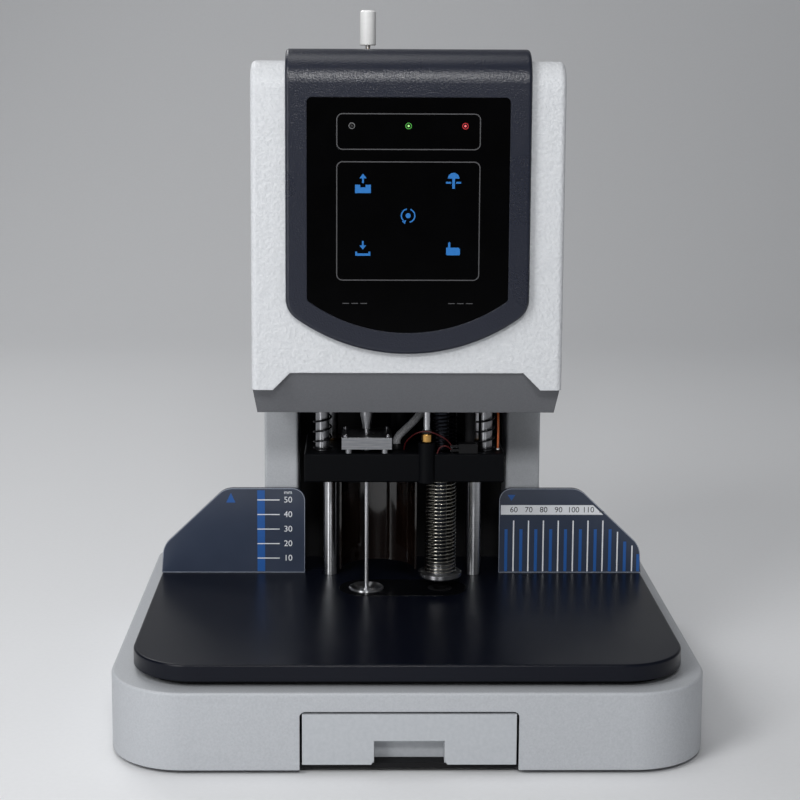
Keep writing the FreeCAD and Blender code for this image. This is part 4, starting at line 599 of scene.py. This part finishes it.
lights_low, lights_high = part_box("indicator_lights")
light_height = (lights_low.z + lights_high.z) / 2
light_spacing = (lights_high.x - lights_low.x - (lights_high.z - lights_low.z)) / 2
finish_nodes(surface("clear_acrylic_light_guide", "#101010", "#080808", 0.15, 1 * mm, 0.002 * mm),
             "indicator_lights")
ring_radius, ring_width, spark_radius = 1.7 * mm, 0.42 * mm, 0.6 * mm
for step, state, ring_tones, ring_glow, spark_tones, spark_glow in (
        (-1, "off", ("#6f6f70", "#5c5c5d"), 0.05, ("#161616", "#101010"), 0.0),
        (0, "green", ("#3f9a35", "#31802a"), 0.35, ("#a6f08c", "#86d86c"), 0.7),
        (1, "red", ("#b01c26", "#95141d"), 0.35, ("#ff6a70", "#e8545b"), 0.6)):
    x = step * light_spacing
    ring = bmesh.new()
    line(ring, arc(x, light_height, ring_radius, 0, 350, 35), ring_width, ink_near, ink_far, closed=True)
    add_piece(f"light_ring_{state}", ring, lit_ink(f"ring_ink_{state}", *ring_tones, ring_glow), "frame")
    spark = bmesh.new()
    slab(spark, arc(x, light_height, spark_radius, 0, 350, 35), ink_near, ink_far)
    add_piece(f"light_spark_{state}", spark, lit_ink(f"lens_{state}", *spark_tones, spark_glow), "frame")


# ---- Guard plates with their scales -------------------------------------------------------------
# Cast acrylic, screen-printed slate blue on the front, with white and blue scale marks. The
# flame-polished edge is clear; the thin pale line along it is a painted highlight.

acrylic = surface("slate_printed_cast_acrylic", "#3c4557", "#2d3546", 0.2, 40 * mm, 0.05 * mm, 0.3 * mm,
                  IOR=1.49)
finish_nodes(acrylic, "left_guard_plate", "right_guard_plate")

guard_low, guard_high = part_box("right_guard_plate")
print_near, print_far = guard_low.y - 0.04 * mm, guard_low.y + 0.02 * mm
over_print = print_near - 0.03 * mm
foot, top = guard_low.z, guard_high.z
inner, outer = guard_low.x, guard_high.x
slope_top, slope_low, slope_foot = 118.5 * mm, 160 * mm, foot + 18.5 * mm
# The pale line round each guard is a painted highlight of its polished edge.
edge_painted_highlight = surface("acrylic_edge_painted_highlight", "#a9b0bd", "#8c94a3", 0.12, 3 * mm, 0.01 * mm, 0.1 * mm,
                     IOR=1.49)
inset, edge_width, slope_round, corner_round = 0.3 * mm, 0.4 * mm, 14 * mm, 8 * mm
for name, side in (("left", -1), ("right", 1)):
    corners = [(inner + inset, foot + inset, 0), (outer - inset, foot + inset, 0),
               (slope_low - inset, slope_foot, slope_round), (slope_top, top - inset, slope_round),
               (inner + inset, top - inset, corner_round)]
    path = rounded(corners)
    edge = bmesh.new()
    line(edge, [(side * x, z) for x, z in path][::side], edge_width, print_near, print_far, closed=True)
    add_piece(f"{name}_guard_edge_highlight", edge, edge_painted_highlight, "frame")

white_ink = surface("screen_ink_white", "#f0f2f6", "#e2e5eb", 0.45, 0.5 * mm, 0.004 * mm, 0.02 * mm)
blue_ink = surface("screen_ink_deep_blue", "#2560aa", "#1b4e90", 0.45, 0.5 * mm, 0.004 * mm, 0.02 * mm)
dark_ink = surface("screen_ink_slate", "#20242c", "#1a1d24", 0.45, 0.5 * mm, 0.004 * mm, 0.02 * mm)


def figures(mesh, text, x, z, height, near):
    """Adds printed figures, centred on a point and as high as asked."""
    figure_share = 0.73
    curve = bpy.data.curves.new("figures", "FONT")
    curve.body = text
    curve.size = height / figure_share
    curve.align_x, curve.align_y = "CENTER", "CENTER"
    curve.extrude = (print_far - near) / 2
    carrier = bpy.data.objects.new("figures", curve)
    shape = bpy.data.meshes.new_from_object(carrier)
    shape.transform(Matrix.Translation((x, (near + print_far) / 2, z)) @ Matrix.Rotation(math.pi / 2, 4, "X"))
    mesh.from_mesh(shape)
    bpy.data.meshes.remove(shape)
    bpy.data.objects.remove(carrier)
    bpy.data.curves.remove(curve)


def guard_height(x):
    """How high the guard stands at a distance from the middle."""
    share = max(0.0, (x - slope_top) / (slope_low - slope_top))
    return top - share * (top - slope_foot)


# Right guard: the distance from the drill, white lines every 10 mm and blue bars between them.
right_white, right_blue, right_dark = bmesh.new(), bmesh.new(), bmesh.new()
band_low, band_high = foot + 40.0 * mm, foot + 46.6 * mm
white_top, blue_top, pitch, first_line = foot + 36 * mm, foot + 30 * mm, 10 * mm, 74.9 * mm
slope_gap, print_foot, band_side, band_slope_gap = 4.6 * mm, foot + 0.9 * mm, inner + 1.2 * mm, 2.4 * mm
white_width, blue_width, bar_drop, last_bar_shift = 0.85 * mm, 2 * mm, 2 * mm, 0.9 * mm
band_ends = [slope_top + (top - z) / (top - slope_foot) * (slope_low - slope_top) - band_slope_gap
             for z in (band_low, band_high)]
slab(right_white, [(band_side, band_low), (band_ends[0], band_low), (band_ends[1], band_high),
                   (band_side, band_high)], print_near, print_far)
for step in range(9):
    x = first_line + step * pitch
    line(right_white, [(x, print_foot), (x, min(white_top, guard_height(x) - slope_gap))], white_width,
         print_near, print_far)
for step in range(10):
    x = first_line + (step - 0.5) * pitch - (last_bar_shift if step == 9 else 0)
    line(right_blue, [(x, print_foot), (x, min(blue_top, guard_height(x) - slope_gap - bar_drop))],
         blue_width, print_near, print_far)
slab(right_blue, [(73.2 * mm, foot + 49.6 * mm), (75.8 * mm, foot + 53.6 * mm),
                  (70.6 * mm, foot + 53.6 * mm)], print_near, print_far)
first_figure, band_figure_height = 60, 3.9 * mm
for step in range(6):
    figures(right_dark, str(first_figure + 10 * step), first_line + step * pitch, (band_low + band_high) / 2,
            band_figure_height, over_print)
figures(right_dark, "mm", first_line + 5.9 * pitch, band_low + 2.1 * mm, 1.7 * mm, over_print)
add_piece("right_scale_white", right_white, white_ink, "frame")
add_piece("right_scale_blue", right_blue, blue_ink, "frame")
add_piece("right_scale_figures", right_dark, dark_ink, "frame")

# Left guard: the height of the stack, a blue stripe, white lines and figures every 10 mm.
left_white, left_blue = bmesh.new(), bmesh.new()
stripe_left, stripe_right, line_right, figure_middle = -96.9 * mm, -91.8 * mm, -82 * mm, -76.3 * mm
stripe_top, line_width, figure_height = top - 1.4 * mm, 0.65 * mm, 4.2 * mm
slab(left_blue, [(stripe_left, print_foot), (stripe_right, print_foot), (stripe_right, stripe_top),
                 (stripe_left, stripe_top)], print_near, print_far)
slab(left_blue, [(-117.6 * mm, foot + 48.2 * mm), (-111.4 * mm, foot + 48.2 * mm),
                 (-114.5 * mm, foot + 54.8 * mm)], print_near, print_far)
for step in range(1, 6):
    height = foot + step * pitch
    line(left_white, [(stripe_left, height), (line_right, height)], line_width, over_print, print_far)
    figures(left_white, str(10 * step), figure_middle, height, figure_height, print_near)
figures(left_white, "mm", figure_middle, foot + 55.2 * mm, 2.6 * mm, print_near)
add_piece("left_scale_white", left_white, white_ink, "frame")
add_piece("left_scale_blue", left_blue, blue_ink, "frame")


# ---- Screws of the brackets and the rear cover --------------------------------------------------
# Zinc-plated button-head screws with a hexagon socket. They stand where the plain heads stood and
# are as large as those.

def loose_parts(name):
    """The lowest and highest corners of each separate solid of a node."""
    mesh = bmesh.new()
    mesh.from_mesh(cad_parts[name].data)
    bmesh.ops.remove_doubles(mesh, verts=mesh.verts, dist=0.01 * mm)
    left, boxes = set(mesh.verts), []
    while left:
        group, waiting = set(), [min(left, key=lambda vert: vert.index)]
        while waiting:
            vert = waiting.pop()
            if vert in left:
                left.remove(vert)
                group.add(vert)
                waiting += [edge.other_vert(vert) for edge in vert.link_edges]
        boxes.append([Vector([pick(vert.co[axis] for vert in group) for axis in range(3)])
                      for pick in (min, max)])
    mesh.free()
    return boxes


rim_share = 0.45
button_heads = bmesh.new()
for low, high in loose_parts("cover_screws"):
    middle, size = (low + high) / 2, high - low
    if size.z < size.x / 2:
        spot, height = Matrix.Translation((middle.x, middle.y, low.z)), size.z
    else:
        spot = Matrix.Translation((middle.x, low.y, middle.z)) @ Matrix.Rotation(-math.pi / 2, 4, "X")
        height = size.y
    socket_screw(button_heads, spot, size.x / 2, height, height * rim_share)
button_screws = add_piece("button_head_screws", button_heads, zinc, "frame", smooth=True)
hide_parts("cover_screws")


# ---- Needle knob and power switch ---------------------------------------------------------------
# The knob is white acetal, turned smooth. The rocker is black polyamide with two white marks.

finish_nodes(surface("turned_white_acetal", "#f2f2f1", "#e6e7e7", 0.3, 0.6 * mm, 0.01 * mm, 0.4 * mm,
                     (0.1, 0.1, 1)), "needle_knob")
finish_nodes(surface("moulded_black_polyamide", "#1b1b1d", "#0f0f10", 0.32, 1 * mm, 0.02 * mm),
             "power_rocker")

# A bar on the half that is pressed in and a ring on the other, printed on the two sloping faces.
rocker_low, rocker_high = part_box("power_rocker")
rocker_x, rocker_z = (rocker_low.x + rocker_high.x) / 2, (rocker_low.z + rocker_high.z) / 2
rear_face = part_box("base_shell")[1].y
pressed_drop, middle_drop, raised_drop = 2.4 * mm, 1.9 * mm, 0.6 * mm
mark_near, mark_far = 0.03 * mm, -0.02 * mm
bar_low, bar_high, bar_width = rocker_z + 1.5 * mm, rocker_z + 4.7 * mm, 0.7 * mm
circle_z, circle_radius, circle_width = rocker_z - 3.1 * mm, 1.4 * mm, 0.6 * mm
marks = bmesh.new()
line(marks, [(rocker_x, bar_low), (rocker_x, bar_high)], bar_width, mark_near, mark_far)
line(marks, arc(rocker_x, circle_z, circle_radius, 0, 350, 35), circle_width, mark_near, mark_far,
     closed=True)
for vert in marks.verts:
    rise = (vert.co.z - rocker_z) / (rocker_high.z - rocker_z)
    slope = middle_drop - pressed_drop if rise > 0 else raised_drop - middle_drop
    vert.co.y += rear_face - middle_drop + slope * rise
add_piece("rocker_marks", marks, white_ink, "rocker")


# ---- Studio: floor, backdrop, lamps and camera --------------------------------------------------
# A pale sweep of painted board, a large soft box on the left, weaker ones on the right, above and
# behind. Two strip boxes give the bezel's bend and the ground bars their bright lines.

sweep_paint = surface("pale_backdrop_paint", "#e8e9eb", "#e3e4e6", 0.9, 3 * mm, 0)
floor_half, floor_front, wall_line, wall_height, bend = 5.0, -4.0, 2.2, 4.0, 0.8
profile = [(floor_front, 0.0)]
profile += [(wall_line - bend + bend * math.sin(math.radians(angle)),
             bend - bend * math.cos(math.radians(angle))) for angle in range(0, 91, 6)]
profile.append((wall_line, wall_height))
sweep = bmesh.new()
rows = [[sweep.verts.new((x, y, z)) for x in (-floor_half, floor_half)] for y, z in profile]
for near_row, far_row in zip(rows, rows[1:]):
    sweep.faces.new((near_row[0], near_row[1], far_row[1], far_row[0])).smooth = True
sweep_mesh = bpy.data.meshes.new("backdrop")
sweep.to_mesh(sweep_mesh)
sweep.free()
sweep_mesh.materials.append(sweep_paint)
backdrop = bpy.data.objects.new("backdrop", sweep_mesh)
bpy.context.scene.collection.objects.link(backdrop)
backdrop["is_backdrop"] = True

world = bpy.data.worlds.new("studio")
world.use_nodes = True
world.node_tree.nodes["Background"].inputs["Color"].default_value = srgb("#eef0f3")
world.node_tree.nodes["Background"].inputs["Strength"].default_value = 0.14
bpy.context.scene.world = world


def soft_box(name, place, aim, size, power):
    """A lamp with an even rectangular face, aimed at a point."""
    lamp = bpy.data.lights.new(name, "AREA")
    lamp.shape = "RECTANGLE"
    lamp.size, lamp.size_y = size
    lamp.energy = power
    holder = bpy.data.objects.new(name, lamp)
    holder.location = place
    holder.rotation_euler = (Vector(aim) - Vector(place)).to_track_quat("-Z", "Y").to_euler()
    bpy.context.scene.collection.objects.link(holder)


middle = (0.0, -0.05, 0.2)
soft_box("key_soft_box", (-1.1, -1.25, 1.45), middle, (0.8, 0.8), 14)
soft_box("fill_soft_box", (1.3, -1.0, 0.9), middle, (0.8, 0.8), 0.5)
soft_box("front_strip_box", (0.0, -1.3, 0.93), (0.0, -0.05, 0.4), (0.3, 0.2), 6.2)
soft_box("side_strip_box", (-0.72, -0.95, 0.4), (0.0, 0.0, 0.15), (0.3, 0.8), 3)
soft_box("top_soft_box", (-0.2, 0.0, 1.7), middle, (0.8, 0.8), 4)
soft_box("rear_soft_box", (-0.8, 1.2, 1.6), middle, (0.8, 0.8), 9)

image_side = 800
focal_pixels = 1683.9
camera_data = bpy.data.cameras.new("camera")
camera_data.sensor_width = 36.0
camera_data.lens = focal_pixels / image_side * camera_data.sensor_width
camera_data.shift_x = 0.0225
camera_data.shift_y = -0.12
camera = bpy.data.objects.new("camera", camera_data)
pitch_down, yaw_right, roll = 0.1343, 0.0136, 0.0043
camera.matrix_world = (Matrix.Translation((-29.0 * mm, -1061.7 * mm, 393.3 * mm))
                       @ Matrix.Rotation(-yaw_right, 4, "Z")
                       @ Matrix.Rotation(math.pi / 2 - pitch_down, 4, "X")
                       @ Matrix.Rotation(roll, 4, "Z"))
bpy.context.scene.collection.objects.link(camera)
bpy.context.scene.camera = camera
bpy.context.scene.view_settings.view_transform = "Standard"

low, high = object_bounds()
